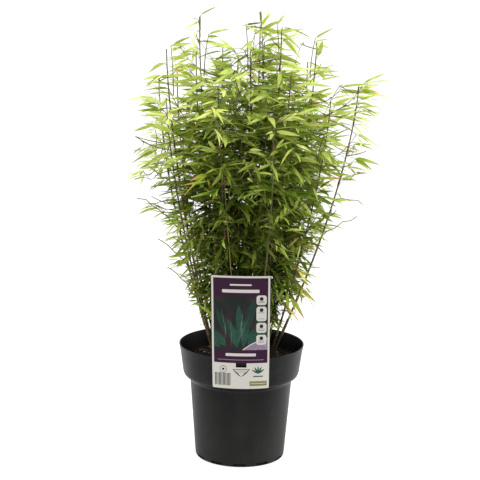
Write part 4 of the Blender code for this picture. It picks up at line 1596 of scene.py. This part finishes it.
chance = random.Random(TIER_SEED)
spurs = []
for points in long_shoots:
    run = sum((b - a).length for a, b in zip(points, points[1:]))
    spurs += grow_tiers(points, run * SHOOT_LEAFY, chance)
for number, cane in enumerate(canes):
    tops = [cane.at(step / CANE_POINTS) for step in range(CANE_POINTS + 1)]
    tiers_from = LEADER_TIERS_FROM if number < len(LEADER_TIPS) else CANE_TIERS_FROM
    leafy_run = (cane.tip.z - tiers_from) * CANE_LEAFY
    spurs += grow_tiers(tops, leafy_run, chance)
print("spurs:", len(spurs))

# %% [markdown]
# ### Sprays placed one by one
#
# Nine shoots rise above the crown and give its top its uneven line, and two more sprays close
# gaps in the heart of the clump. Chance would put them elsewhere, so each is written down: where
# it starts and ends, the way its leaves point, how many there are, their size against the usual
# one, and their kind. A shoot rises straight over its foot and then leans a little to its tip.

# %% Draw the sprays' shoots
LONE_SPRAYS = (  # foot and tip, the way the leaves point, their number, size and kind
    ((-0.072, -0.006, 0.680), (-0.072, -0.010, 0.7030), (0.76, 0.0, 0.70), 1, 0.65, "fresh"),
    ((-0.072, -0.006, 0.670), (-0.075, -0.010, 0.6960), (-0.85, 0.0, 0.50), 1, 0.35, "mid"),
    ((-0.065, -0.010, 0.610), (-0.058, -0.020, 0.6764), (1.00, -0.1, 0.10), 4, 0.88, "fresh"),
    ((-0.112, -0.010, 0.580), (-0.116, -0.020, 0.6571), (1.00, -0.1, 0.32), 4, 0.85, "fresh"),
    ((0.002, -0.010, 0.620), (-0.002, -0.020, 0.6920), (0.90, -0.1, 0.25), 4, 0.75, "mid"),
    ((0.025, -0.010, 0.620), (0.021, -0.020, 0.6930), (0.04, 0.0, 1.00), 2, 0.52, "mid"),
    ((0.050, -0.010, 0.620), (0.045, -0.020, 0.6930), (0.55, 0.0, 0.85), 2, 0.75, "bright"),
    ((0.052, -0.010, 0.630), (0.053, -0.020, 0.6880), (1.00, -0.1, 0.05), 4, 0.95, "fresh"),
    ((0.098, -0.010, 0.610), (0.104, -0.020, 0.6720), (0.90, -0.1, 0.30), 3, 0.80, "fresh"),
    ((0.025, 0.010, 0.266), (0.032, 0.010, 0.2870), (1.00, 0.0, 0.12), 5, 1.10, "deep"),
    ((-0.024, 0.020, 0.312), (-0.018, 0.020, 0.3336), (0.80, 0.0, 0.60), 5, 1.10, "deep"),
)

lone_lines = []
for start, tip, *_ in LONE_SPRAYS:
    over_start = Vector((start[0], start[1], (start[2] + tip[2]) / 2))
    lone_lines.append(curved(Vector(start), over_start, Vector(tip), SHOOT_STEPS))
print("sprays placed one by one:", len(lone_lines))

# %% Sweep the branches, twigs and shoots
BRANCH_POINTS = 6
BRANCH_RADIUS, BRANCH_TIP_RADIUS = STEM_RADIUS * 0.75, STEM_TIP_RADIUS * 0.6
LONG_SHOOT_RADIUS = 0.00075
LONE_RADIUS, LONE_TIP_RADIUS = 0.00090, 0.00055
TWIG_RADIUS, TWIG_END_RADIUS = 0.00070, 0.00036
SPUR_RADIUS = 0.0005
BRANCH_SIDES, TWIG_SIDES = 6, 4


def tapered(points, start_radius, end_radius):
    """The points, each with its radius."""
    last = len(points) - 1
    change = end_radius - start_radius
    return [(point, start_radius + change * i / last) for i, point in enumerate(points)]


branches = [curved(*stem, BRANCH_POINTS) for stem, _ in masses]
branch_lines = [tapered(points, BRANCH_RADIUS, BRANCH_TIP_RADIUS) for points in branches]
branch_lines += [tapered(points, LONG_SHOOT_RADIUS, TWIG_END_RADIUS) for points in long_shoots]
branch_lines += [tapered(points, LONE_RADIUS, LONE_TIP_RADIUS) for points in lone_lines]
branch_mesh = swept("side_branches", branch_lines, BRANCH_SIDES)
twig_lines = [tapered(points, TWIG_RADIUS, TWIG_END_RADIUS) for points in twigs]
twig_lines += [tapered(points, SPUR_RADIUS, TWIG_END_RADIUS) for points in spurs]
twig_mesh = swept("leafy_twigs", twig_lines, TWIG_SIDES)
print("branches:", len(branch_lines), "twigs:", len(twig_lines))

# %% [markdown]
# ### Fine shoots
#
# Between the canes stand shoots of this year, hardly thicker than a straw, which rise from the
# same clump. They fill the foot of the plant, where the leaves are few. A few shoots have lost
# most of their leaves and stick out at the sides, bent at each joint, and a few twigs near the
# bed hang out of the clump with tired or young leaves at their ends. The fine shoots follow the
# canes' rule with smaller numbers, so they look like the same plant, and the others are placed
# one by one.

# %% Draw the fine shoots
SHOOT_SEED = 41
FINE_SHOOTS = 26
SHOOT_HEIGHTS = (0.36, 0.60)
SHOOT_SPREAD = 0.60  # the widest end at this share of the crown's reach
SHOOT_FOOT = 0.6  # how much closer to the middle they rise than canes
SHOOT_START_ANGLE = 1.0  # so that they stand between the canes, not along them
SHOOT_POINTS = 12
SHOOT_RADIUS, SHOOT_TIP_RADIUS = 0.0011, 0.00045


def fine_shoot(index, chance):
    """The line of a fine shoot from the bed to a place among the leaves."""
    share = math.sqrt((index + 0.5) / FINE_SHOOTS)
    angle = index * GOLDEN_ANGLE + SHOOT_START_ANGLE
    height = chance.uniform(*SHOOT_HEIGHTS)
    reach = SHOOT_SPREAD * float(np.interp(height, HEIGHTS, (LEFTS + RIGHTS) / 2)) * share
    tip = Vector((reach * math.cos(angle), CROWN_DEPTH * reach * math.sin(angle), height))
    line = CaneLine(tip, chance)
    line.foot = Vector((line.foot.x * SHOOT_FOOT, line.foot.y * SHOOT_FOOT, line.foot.z))
    return [line.at(step / SHOOT_POINTS) for step in range(SHOOT_POINTS + 1)]


chance = random.Random(SHOOT_SEED)
shoots = [fine_shoot(index, chance) for index in range(FINE_SHOOTS)]
print("fine shoots:", len(shoots))

# %% Draw the bare shoots and the hanging twigs
KINK = 0.0013
BARE_ARCH = 0.015
BARE_POINTS = 7
BARE_RADIUS, BARE_TIP_RADIUS = 0.0010, 0.0007
BARE_SHOOTS = (  # where each leaves the clump, and its tip
    ((0.095, -0.030, 0.340), (0.174, -0.055, 0.404)),
    ((0.110, -0.020, 0.420), (0.184, -0.030, 0.418)),
    ((-0.085, -0.030, 0.360), (-0.165, -0.045, 0.424)),
    ((-0.075, -0.020, 0.300), (-0.132, -0.050, 0.362)),
    ((-0.066, -0.040, 0.260), (-0.116, -0.070, 0.322)),
)
HANGING_TWIGS = (  # where each leaves the foot of the clump, its end, and its kind of leaves
    ((0.045, -0.020, 0.300), (0.096, -0.040, 0.281), "yellow"),
    ((0.040, -0.030, 0.286), (0.080, -0.050, 0.268), "scorched"),
    ((0.050, 0.020, 0.300), (0.090, 0.030, 0.272), "yellow"),
    ((0.030, -0.030, 0.280), (0.060, -0.052, 0.262), "mid"),
    ((0.040, -0.010, 0.270), (0.070, -0.020, 0.250), "yellow"),
    ((0.035, 0.020, 0.290), (0.072, 0.010, 0.288), "fresh"),
    ((0.050, -0.040, 0.330), (0.086, -0.060, 0.316), "yellow"),
    ((-0.040, -0.025, 0.290), (-0.072, -0.045, 0.280), "scorched"),
    ((-0.034, -0.030, 0.250), (-0.046, -0.050, 0.240), "fresh"),
    ((-0.040, -0.010, 0.300), (-0.080, -0.020, 0.296), "mid"),
)


def bare_shoot(start, tip, chance):
    """The line of a bare shoot, which turns a little at each joint."""
    start, tip = Vector(start), Vector(tip)
    control = start.lerp(tip, 0.5) + UP * BARE_ARCH
    points = curved(start, control, tip, BARE_POINTS)
    for point in points[1:-1]:
        point += Vector([chance.gauss(0.0, KINK) for _ in range(3)])
    return points


bare = [bare_shoot(start, tip, chance) for start, tip in BARE_SHOOTS]
hanging = [bare_shoot(start, tip, chance) for start, tip, _ in HANGING_TWIGS]
shoot_lines = [tapered(points, SHOOT_RADIUS, SHOOT_TIP_RADIUS) for points in shoots]
shoot_lines += [tapered(points, BARE_RADIUS, BARE_TIP_RADIUS) for points in bare + hanging]
shoot_mesh = swept("fine_shoots", shoot_lines, BRANCH_SIDES)
print("bare shoots:", len(bare), "hanging twigs:", len(hanging))

# %% Finishes of the wood in the crown
foliage_nodes = sorted(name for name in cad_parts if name.startswith("foliage_"))
branch_finish = skin_finish("branch_skin", (0.170, 0.150, 0.036), (0.070, 0.048, 0.020), 0.5, 14.0)
shoot_finish = skin_finish("shoot_skin", (0.270, 0.200, 0.050), (0.105, 0.085, 0.028), 0.5, 14.0)
twig_finish = skin_finish("twig_skin", (0.210, 0.260, 0.060), (0.105, 0.110, 0.034), 0.55, 22.0)
dress(add_piece("side_branches", branch_mesh, branch_finish), "canes")
dress(add_piece("fine_shoots", shoot_mesh, shoot_finish), "canes")
dress(add_piece("leafy_twigs", twig_mesh, twig_finish), "foliage", *foliage_nodes)
print("masses dressed:", len(foliage_nodes))

# %% [markdown]
# ## Leaves
#
# A bamboo leaf is a narrow blade, seven times as long as it is wide, with a fold along its
# middle, a short point at its stalk and a long point at its tip. It is paper thin, so it is a
# single sheet of a few faces. A grid two faces wide is tapered, folded and arched by moving its
# vertices, and the corners at each end are merged into a point. Three leaves, one nearly flat,
# one arched and one arched and twisted, are enough to look like thousands when each is turned
# and sized anew.

# %% Shape the leaves
LEAF_ROWS = 6
LEAF_SLENDER = 0.140  # width as a share of length
LEAF_FOLD = 0.22  # depth of the fold as a share of the half width
LEAF_BULGE, LEAF_ROOT, LEAF_POINT = 2.85, 0.58, 1.05  # blunt at its root, long at its tip
LEAF_SHORTER = 0.25  # what an arched leaf loses in height
LEAF_BENDS = ((0.06, 0.1), (0.16, -0.3), (0.28, 0.6))  # arch and twist of each shape
TIP_SHARE = 0.64  # beyond this share of its length a scorched leaf has another colour


def leaf_shape(arch, twist):
    """A leaf 1 long along +Z from its root, facing +Y. Its tip hangs by arch and turns by twist."""
    bm = bmesh.new()
    bmesh.ops.create_grid(bm, x_segments=2, y_segments=LEAF_ROWS, size=0.5)
    for face in bm.faces:
        face.material_index = int(face.calc_center_median().y + 0.5 > TIP_SHARE)
    for vert in bm.verts:
        side, rise = vert.co.x * 2.0, vert.co.y + 0.5
        half = LEAF_SLENDER * 0.5 * LEAF_BULGE * rise**LEAF_ROOT * (1.0 - rise) ** LEAF_POINT
        turn = twist * rise
        across, lift = side * half, abs(side) * half * LEAF_FOLD
        sag = arch * rise**2.0
        vert.co = (
            across * math.cos(turn) - lift * math.sin(turn),
            across * math.sin(turn) + lift * math.cos(turn) - sag,
            rise * (1.0 - LEAF_SHORTER * arch * rise),
        )
    bmesh.ops.remove_doubles(bm, verts=bm.verts, dist=NEARLY_NOTHING)
    for face in bm.faces:
        if face.normal.y < 0.0:
            face.normal_flip()
    mesh = bpy.data.meshes.new("leaf")
    bm.to_mesh(mesh)
    bm.free()
    return mesh


leaf_shapes = [leaf_shape(arch, twist) for arch, twist in LEAF_BENDS]
print("leaf shapes:", len(leaf_shapes), "faces of one:", len(leaf_shapes[0].polygons))

# %% [markdown]
# ### Fans of leaves
#
# At a twig's end the leaves sit on alternate sides, a few millimetres apart, with one that
# carries on from the tip. At the top of the crown they stand out level or rise a little, and
# towards its foot they hang, as leaves do in the shade. Each fan's heading mixes the way out of
# the crown, its twig's own run and some chance. A leaf whose tip would pass the crown's outline
# or cover the label is tried again shorter, and then left out. The leaves of the shoots that are
# placed one by one may pass the outline, and there the way that they point is given.

# %% Helper that sets one leaf
LEAF_LENGTH = ((0.30, 0.48, 0.60), (0.0330, 0.0350, 0.0405))  # by height
LEAF_SPREAD = 0.008
LEAF_LIMITS = (0.018, 0.056)
LEAF_WIDTHS = (0.85, 1.2)
BROADER = ((0.50, 0.62), (1.0, 1.15))  # the highest leaves are broader
LEAF_TILT = ((0.30, 0.50), (math.radians(19), math.radians(9)))  # by height
LEAF_ROLL = 0.55
LEAF_TRIES = 4
YAW_STRAY, YAW_STRAY_MORE = 0.22, 0.2  # at the first try, and at each further one
SHORTER_EACH_TRY = 0.13


def grow_leaf(root, level, turn, slant, chance, free=False, share=1.0):
    """The matrix of one leaf, or None where there is no room for it.

    A free leaf may hang out of the crown. share is the leaf's size against the usual one.
    """
    for attempt in range(LEAF_TRIES):
        yaw = turn + chance.gauss(0.0, YAW_STRAY + YAW_STRAY_MORE * attempt)
        pitch = slant + chance.gauss(0.0, float(np.interp(root.z, *LEAF_TILT)))
        usual = float(np.interp(root.z, *LEAF_LENGTH)) * share
        length = chance.gauss(usual, LEAF_SPREAD * share) * (1.0 - SHORTER_EACH_TRY * attempt)
        length = min(max(length, LEAF_LIMITS[0] * share), LEAF_LIMITS[1])
        course = Matrix.Rotation(yaw, 3, "Z") @ level * math.cos(pitch) + UP * math.sin(pitch)
        tip = root + course * length
        if (free or crown_share(tip)[0] < 1.0) and not near_label(tip)[0]:
            face = UP + Vector((chance.gauss(0.0, LEAF_ROLL), chance.gauss(0.0, LEAF_ROLL), 0.0))
            width = length * chance.uniform(*LEAF_WIDTHS)
            width *= float(np.interp(root.z, *BROADER))
            size = Matrix.Diagonal((width, length, length, 1.0))
            return Matrix.Translation(root) @ facing(course, face).to_4x4() @ size
    return None


# %% Helper that opens a fan of leaves
LEAF_STEP = 0.0042  # along the twig from one leaf to the next
FAN_OPEN, FAN_WIDER = 0.40, 0.13  # turn of a side leaf from the fan's heading, in radians
FAN_STRAY = 0.5
RUN_PULL = 0.7  # how much the fan follows its twig's run
TO_LIGHT = ((0.30, 0.50, 0.67, 0.69), (1.15, 1.5, 1.5, 3.0))  # to the two sides in the light
PITCHES = ((0.215, 0.40, 0.716), (math.radians(-20), math.radians(-4), math.radians(12)))
FAN_TILT = ((0.30, 0.50), (math.radians(23), math.radians(13)))  # by height
SHAPE_CHOICE = (0, 0, 1, 1, 2)  # the twisted shape is the rarest


def grow_fan(points, sizes, chance, droop=0.0, free=False, heading=None, share=1.0):
    """The leaves of the fan at a twig's end, as (shape number, matrix)."""
    end, run = points[-1], (points[-1] - points[-2]).normalized()
    stray = Vector((chance.gauss(0.0, FAN_STRAY), chance.gauss(0.0, FAN_STRAY), 0.0))
    level = outward_from_clump(end) + Vector((run.x, run.y, 0.0)) * RUN_PULL + stray
    level = Vector((level.x * float(np.interp(end.z, *TO_LIGHT)), level.y, 0.0)).normalized()
    tilt = chance.gauss(0.0, float(np.interp(end.z, *FAN_TILT)))
    slant = float(np.interp(end.z, *PITCHES)) + tilt - droop
    if heading:
        way = Vector(heading)
        level = Vector((way.x, way.y, 0.0)).normalized()
        slant = math.asin(way.normalized().z)
    side = chance.choice((-1.0, 1.0))
    leaves = []
    for number in range(chance.choice(sizes)):
        turn = 0.0 if number == 0 else side * (FAN_OPEN + FAN_WIDER * number)
        side = -side
        root = end - run * LEAF_STEP * max(0.0, number - 0.5)
        place = grow_leaf(root, level, turn, slant, chance, free, share)
        if place:
            leaves.append((chance.choice(SHAPE_CHOICE), place))
    return leaves


# %% [markdown]
# ### Kinds of leaves
#
# The leaves of one plant aren't one green, and here their kinds also carry painted light and
# shade. Fans high up and out at the sides are painted a bright yellow green, as if lit through,
# and those low down or deep inside the crown are painted nearly black, as painted shade. Each fan
# gets a score from its height and from how far out its place is, with some chance, and the score
# picks its kind. A few fans anywhere are yellow with age or scorched at their tips.

# %% Helper that picks the kind of a fan
KINDS = ("deep", "mid", "fresh", "bright")
ODD_KINDS = (("yellow", 0.010, 0.0), ("scorched", 0.034, 0.9))  # share of fans, least light
# painted light: fans lower than this share of the height are scored as if they stood at it
LEAST_LIT_HEIGHT = 0.28
PAINTED_LIT_LEFT = 0.82  # painted light: the left side counts as this much nearer to its edge, so its leaves are lighter
FROM_MIDDLE, FROM_SIDE = 0.4, 0.6  # what the two ways of being far out count for
BY_HEIGHT, BY_LIGHT, DARKER, SCORE_STRAY = 1.1, 0.60, 0.31, 0.16
DARK_HEIGHTS = (0.50, 0.71)  # shares of the height above which the dark kinds aren't found
DARK_SIDES = (0.47, 0.68)  # and how lit a place is painted where they aren't found


def kind_of_fan(end, chance):
    """Painted light and shade: fans high up and far out are painted bright, those low or deep dark.
    """
    height = max(LEAST_LIT_HEIGHT, (end.z - HEIGHTS[0]) / (HEIGHTS[-1] - HEIGHTS[0]))
    reach = float(np.interp(end.z, HEIGHTS, RIGHTS if end.x > 0.0 else LEFTS))
    reach *= PAINTED_LIT_LEFT if end.x < 0.0 else 1.0
    lit_share = FROM_MIDDLE * float(crown_share(end)[0]) + FROM_SIDE * abs(end.x) / reach
    odd = chance.random()
    for kind, share, light in ODD_KINDS:
        if 0.0 <= odd < share and height + lit_share > light:
            return kind
        odd -= share
    score = BY_HEIGHT * height + BY_LIGHT * lit_share - DARKER + chance.gauss(0.0, SCORE_STRAY)
    lightest_by_height = sum(height > limit for limit in DARK_HEIGHTS)
    lightest_by_side = sum(lit_share > limit for limit in DARK_SIDES)
    number = max(lightest_by_height, lightest_by_side, int(score * len(KINDS)))
    return KINDS[min(len(KINDS) - 1, number)]


# %% Open the fans of the twigs and the spurs
LEAF_SEED = 5
FAN_SIZES, HIGH_FANS = (3, 4, 4, 5, 5, 6), (2, 3, 3, 4, 4)  # leaves in a fan
HIGH_FROM = 0.52  # above this height the fans are high ones
SPUR_FANS = (1, 1, 2, 2, 3)

sprays = {kind: [] for kind in KINDS + tuple(kind for kind, _, _ in ODD_KINDS)}
chance = random.Random(LEAF_SEED)
for points in twigs:
    sizes = HIGH_FANS if points[-1].z > HIGH_FROM else FAN_SIZES
    sprays[kind_of_fan(points[-1], chance)] += grow_fan(points, sizes, chance)
for points in spurs:
    sprays[kind_of_fan(points[-1], chance)] += grow_fan(points, SPUR_FANS, chance)
print("leaves so far:", sum(len(places) for places in sprays.values()))

# %% Open the fans of the long shoots and of the canes' own tips
FREE_SEED = 3
STANDING_FROM = 0.683  # above this height a shoot's leaves stand up
STANDING = -0.40
CANE_TIP_FROM = 0.97

free_ends = {tuple(Vector(tip)): heading for tip, heading in FREE_TIPS}
free_chance = random.Random(FREE_SEED)  # its own draws, so neither set moves the other
for points in long_shoots + [[cane.at(CANE_TIP_FROM), cane.tip] for cane in canes]:
    end = points[-1]
    heading = free_ends.get(tuple(end))
    free = heading is not None
    dice = free_chance if free else chance
    droop = STANDING if end.z > STANDING_FROM else 0.0
    sprays[kind_of_fan(end, dice)] += grow_fan(points, HIGH_FANS, dice, droop, free, heading)
print("leaves so far:", sum(len(places) for places in sprays.values()))

# %% Open the fans of the sprays, the bare shoots and the hanging twigs
BARE_FANS = (1, 2)
HANGING_FANS, HANGING_DROOP = (3, 4, 5), 0.15

for points, (_, _, heading, count, share, kind) in zip(lone_lines, LONE_SPRAYS):
    sprays[kind] += grow_fan(points, (count,), free_chance, 0.0, True, heading, share)
for points in bare:
    sprays["fresh"] += grow_fan(points, BARE_FANS, chance)
for points, (_, _, kind) in zip(hanging, HANGING_TWIGS):
    sprays[kind] += grow_fan(points, HANGING_FANS, chance, HANGING_DROOP, True)
print({kind: len(places) for kind, places in sprays.items()})

# %% [markdown]
# ### Finish of the leaves
#
# Thousands of tiny leaves share one piece, so anything that must sit in its place on a leaf, such
# as a midrib, would fall anywhere. A soft cloud between two tones may fall anywhere without harm,
# and the same cloud makes the leaves a little duller where they are paler. So each kind of spray
# has its two tones and no more. Young leaves are waxy and gleam more than old ones. Only the
# tips of scorched and yellow leaves differ, and those are faces of their own.

# %% Leaf colours and pieces
# painted light and shade: bright and fresh are lit copies of one leaf green, mid and deep shaded
# ones
LEAF_COLOURS = {
    "deep": ((0.027, 0.052, 0.003), (0.075, 0.090, 0.011)),
    "mid": ((0.095, 0.168, 0.011), (0.210, 0.245, 0.034)),
    "fresh": ((0.270, 0.395, 0.040), (0.425, 0.485, 0.100)),
    "bright": ((0.460, 0.570, 0.095), (0.630, 0.670, 0.215)),
    "yellow": ((0.500, 0.520, 0.095), (0.450, 0.400, 0.070)),
    "scorched": ((0.300, 0.390, 0.030), (0.360, 0.430, 0.040)),
}
SCORCHED_TIP = (0.640, 0.330, 0.110), (0.48, 0.20, 0.07)
LEAF_GLOSS = {"deep": 0.10, "mid": 0.14, "fresh": 0.26, "bright": 0.32}
USUAL_GLOSS = 0.2
LEAF_ROUGHNESS, LEAF_DULLER = 0.42, 0.14


def leaf_finish(name, low, high, gloss=USUAL_GLOSS):
    """A waxy blade that wanders between two tones."""
    finish, tree, shader = new_finish(name, low, LEAF_ROUGHNESS)
    cloud = use_group(tree, uneven, Scale=60.0, Low=0.40, High=0.60)
    tree.links.new(mixed(tree, cloud, low, high), shader.inputs["Base Color"])
    roughness = calculated(tree, "MULTIPLY_ADD", cloud, LEAF_DULLER, LEAF_ROUGHNESS)
    tree.links.new(roughness, shader.inputs["Roughness"])
    shader.inputs["Specular IOR Level"].default_value = gloss
    return finish


tip_finish = leaf_finish("leaf_scorched_tip", *SCORCHED_TIP)
for kind, places in sprays.items():
    gloss = LEAF_GLOSS.get(kind, USUAL_GLOSS)
    body_finish = leaf_finish(f"leaf_{kind}", *LEAF_COLOURS[kind], gloss)
    over = tip_finish if kind in ("scorched", "yellow") else body_finish
    leaf_mesh = stamped(f"leaves_{kind}", leaf_shapes, places)
    dress(add_piece(f"leaves_{kind}", leaf_mesh, body_finish, over), "foliage")
    print("faces of", leaf_mesh.name, len(leaf_mesh.polygons))

# %% [markdown]
# ### Fallen leaves and straw
#
# Some leaves have dropped onto the bed and dried to the colour of straw, and bits of stalk lie
# among them. They are the same leaf shapes laid flat, and short thin limbs. Without them the
# bed looks as if it had been swept.

# %% Helper that finds a place for litter
INNER_SHARE, WALL_CLEAR = 0.15, 0.012
END_CLEAR = 0.003  # how far an end stays from the wall


def bed_place(chance):
    """A random place on the bed, in view between the canes and the wall."""
    away = (MIX_EDGE - WALL_CLEAR) * math.sqrt(chance.uniform(INNER_SHARE, 1.0))
    angle = chance.uniform(0.0, math.tau)
    x, y = away * math.cos(angle), away * math.sin(angle)
    return Vector((x, y, bed_height(x, y)))


def litter_course(slope, chance):
    """A random direction over the bed that rises a little, by its slope."""
    return Matrix.Rotation(chance.uniform(0.0, math.tau), 3, "Z") @ Vector((1.0, 0.0, slope))


# %% Scatter the litter on the bed
LITTER_SEED = 61
FALLEN_LEAVES, FALLEN_SIZES, FALLEN_LIFT, FALLEN_SLOPE = 26, (0.008, 0.020), 0.0022, 0.04
STRAWS, STRAW_LENGTHS, STRAW_LIFT, STRAW_SLOPE = 22, (0.004, 0.012), 0.0012, 0.1
STRAW_ARCH = 0.0006
STRAW_RADIUS, STRAW_TIP_RADIUS = 0.0005, 0.0003

chance = random.Random(LITTER_SEED)
fallen, straws = [], []
for _ in range(FALLEN_LEAVES):
    root = bed_place(chance) + UP * FALLEN_LIFT
    course = litter_course(FALLEN_SLOPE, chance)
    size = chance.uniform(*FALLEN_SIZES)
    if math.hypot(*(root + course * size).xy) < MIX_EDGE - END_CLEAR:
        turned = facing(course, UP).to_4x4()
        fallen.append((0, Matrix.Translation(root) @ turned @ Matrix.Scale(size, 4)))
for _ in range(STRAWS):
    root = bed_place(chance) + UP * STRAW_LIFT
    end = root + litter_course(STRAW_SLOPE, chance) * chance.uniform(*STRAW_LENGTHS)
    if math.hypot(*end.xy) < MIX_EDGE - END_CLEAR:
        points = [root, root.lerp(end, 0.5) + UP * STRAW_ARCH, end]
        straws.append(tapered(points, STRAW_RADIUS, STRAW_TIP_RADIUS))
print("fallen leaves:", len(fallen), "straws:", len(straws))

# %% Finish and pieces of the litter
DRY = (0.30, 0.22, 0.11), (0.16, 0.10, 0.05)

dry_finish = leaf_finish("dry_leaf", *DRY)
fallen_mesh = stamped("fallen_leaves", leaf_shapes, fallen)
dress(add_piece("fallen_leaves", fallen_mesh, dry_finish, dry_finish), "mix")
straw_mesh = swept("straw_bits", straws, TWIG_SIDES)
dress(add_piece("straw_bits", straw_mesh, dry_finish), "mix")
print("faces:", len(fallen_mesh.polygons), len(straw_mesh.polygons))

# %% [markdown]
# ## Finish
#
# The dressed plant is meant to be no larger than the imported solids, apart from a little that
# soft parts may stand proud. At the end the scene is brought up to date.

# %% Finish
bpy.context.view_layer.update()
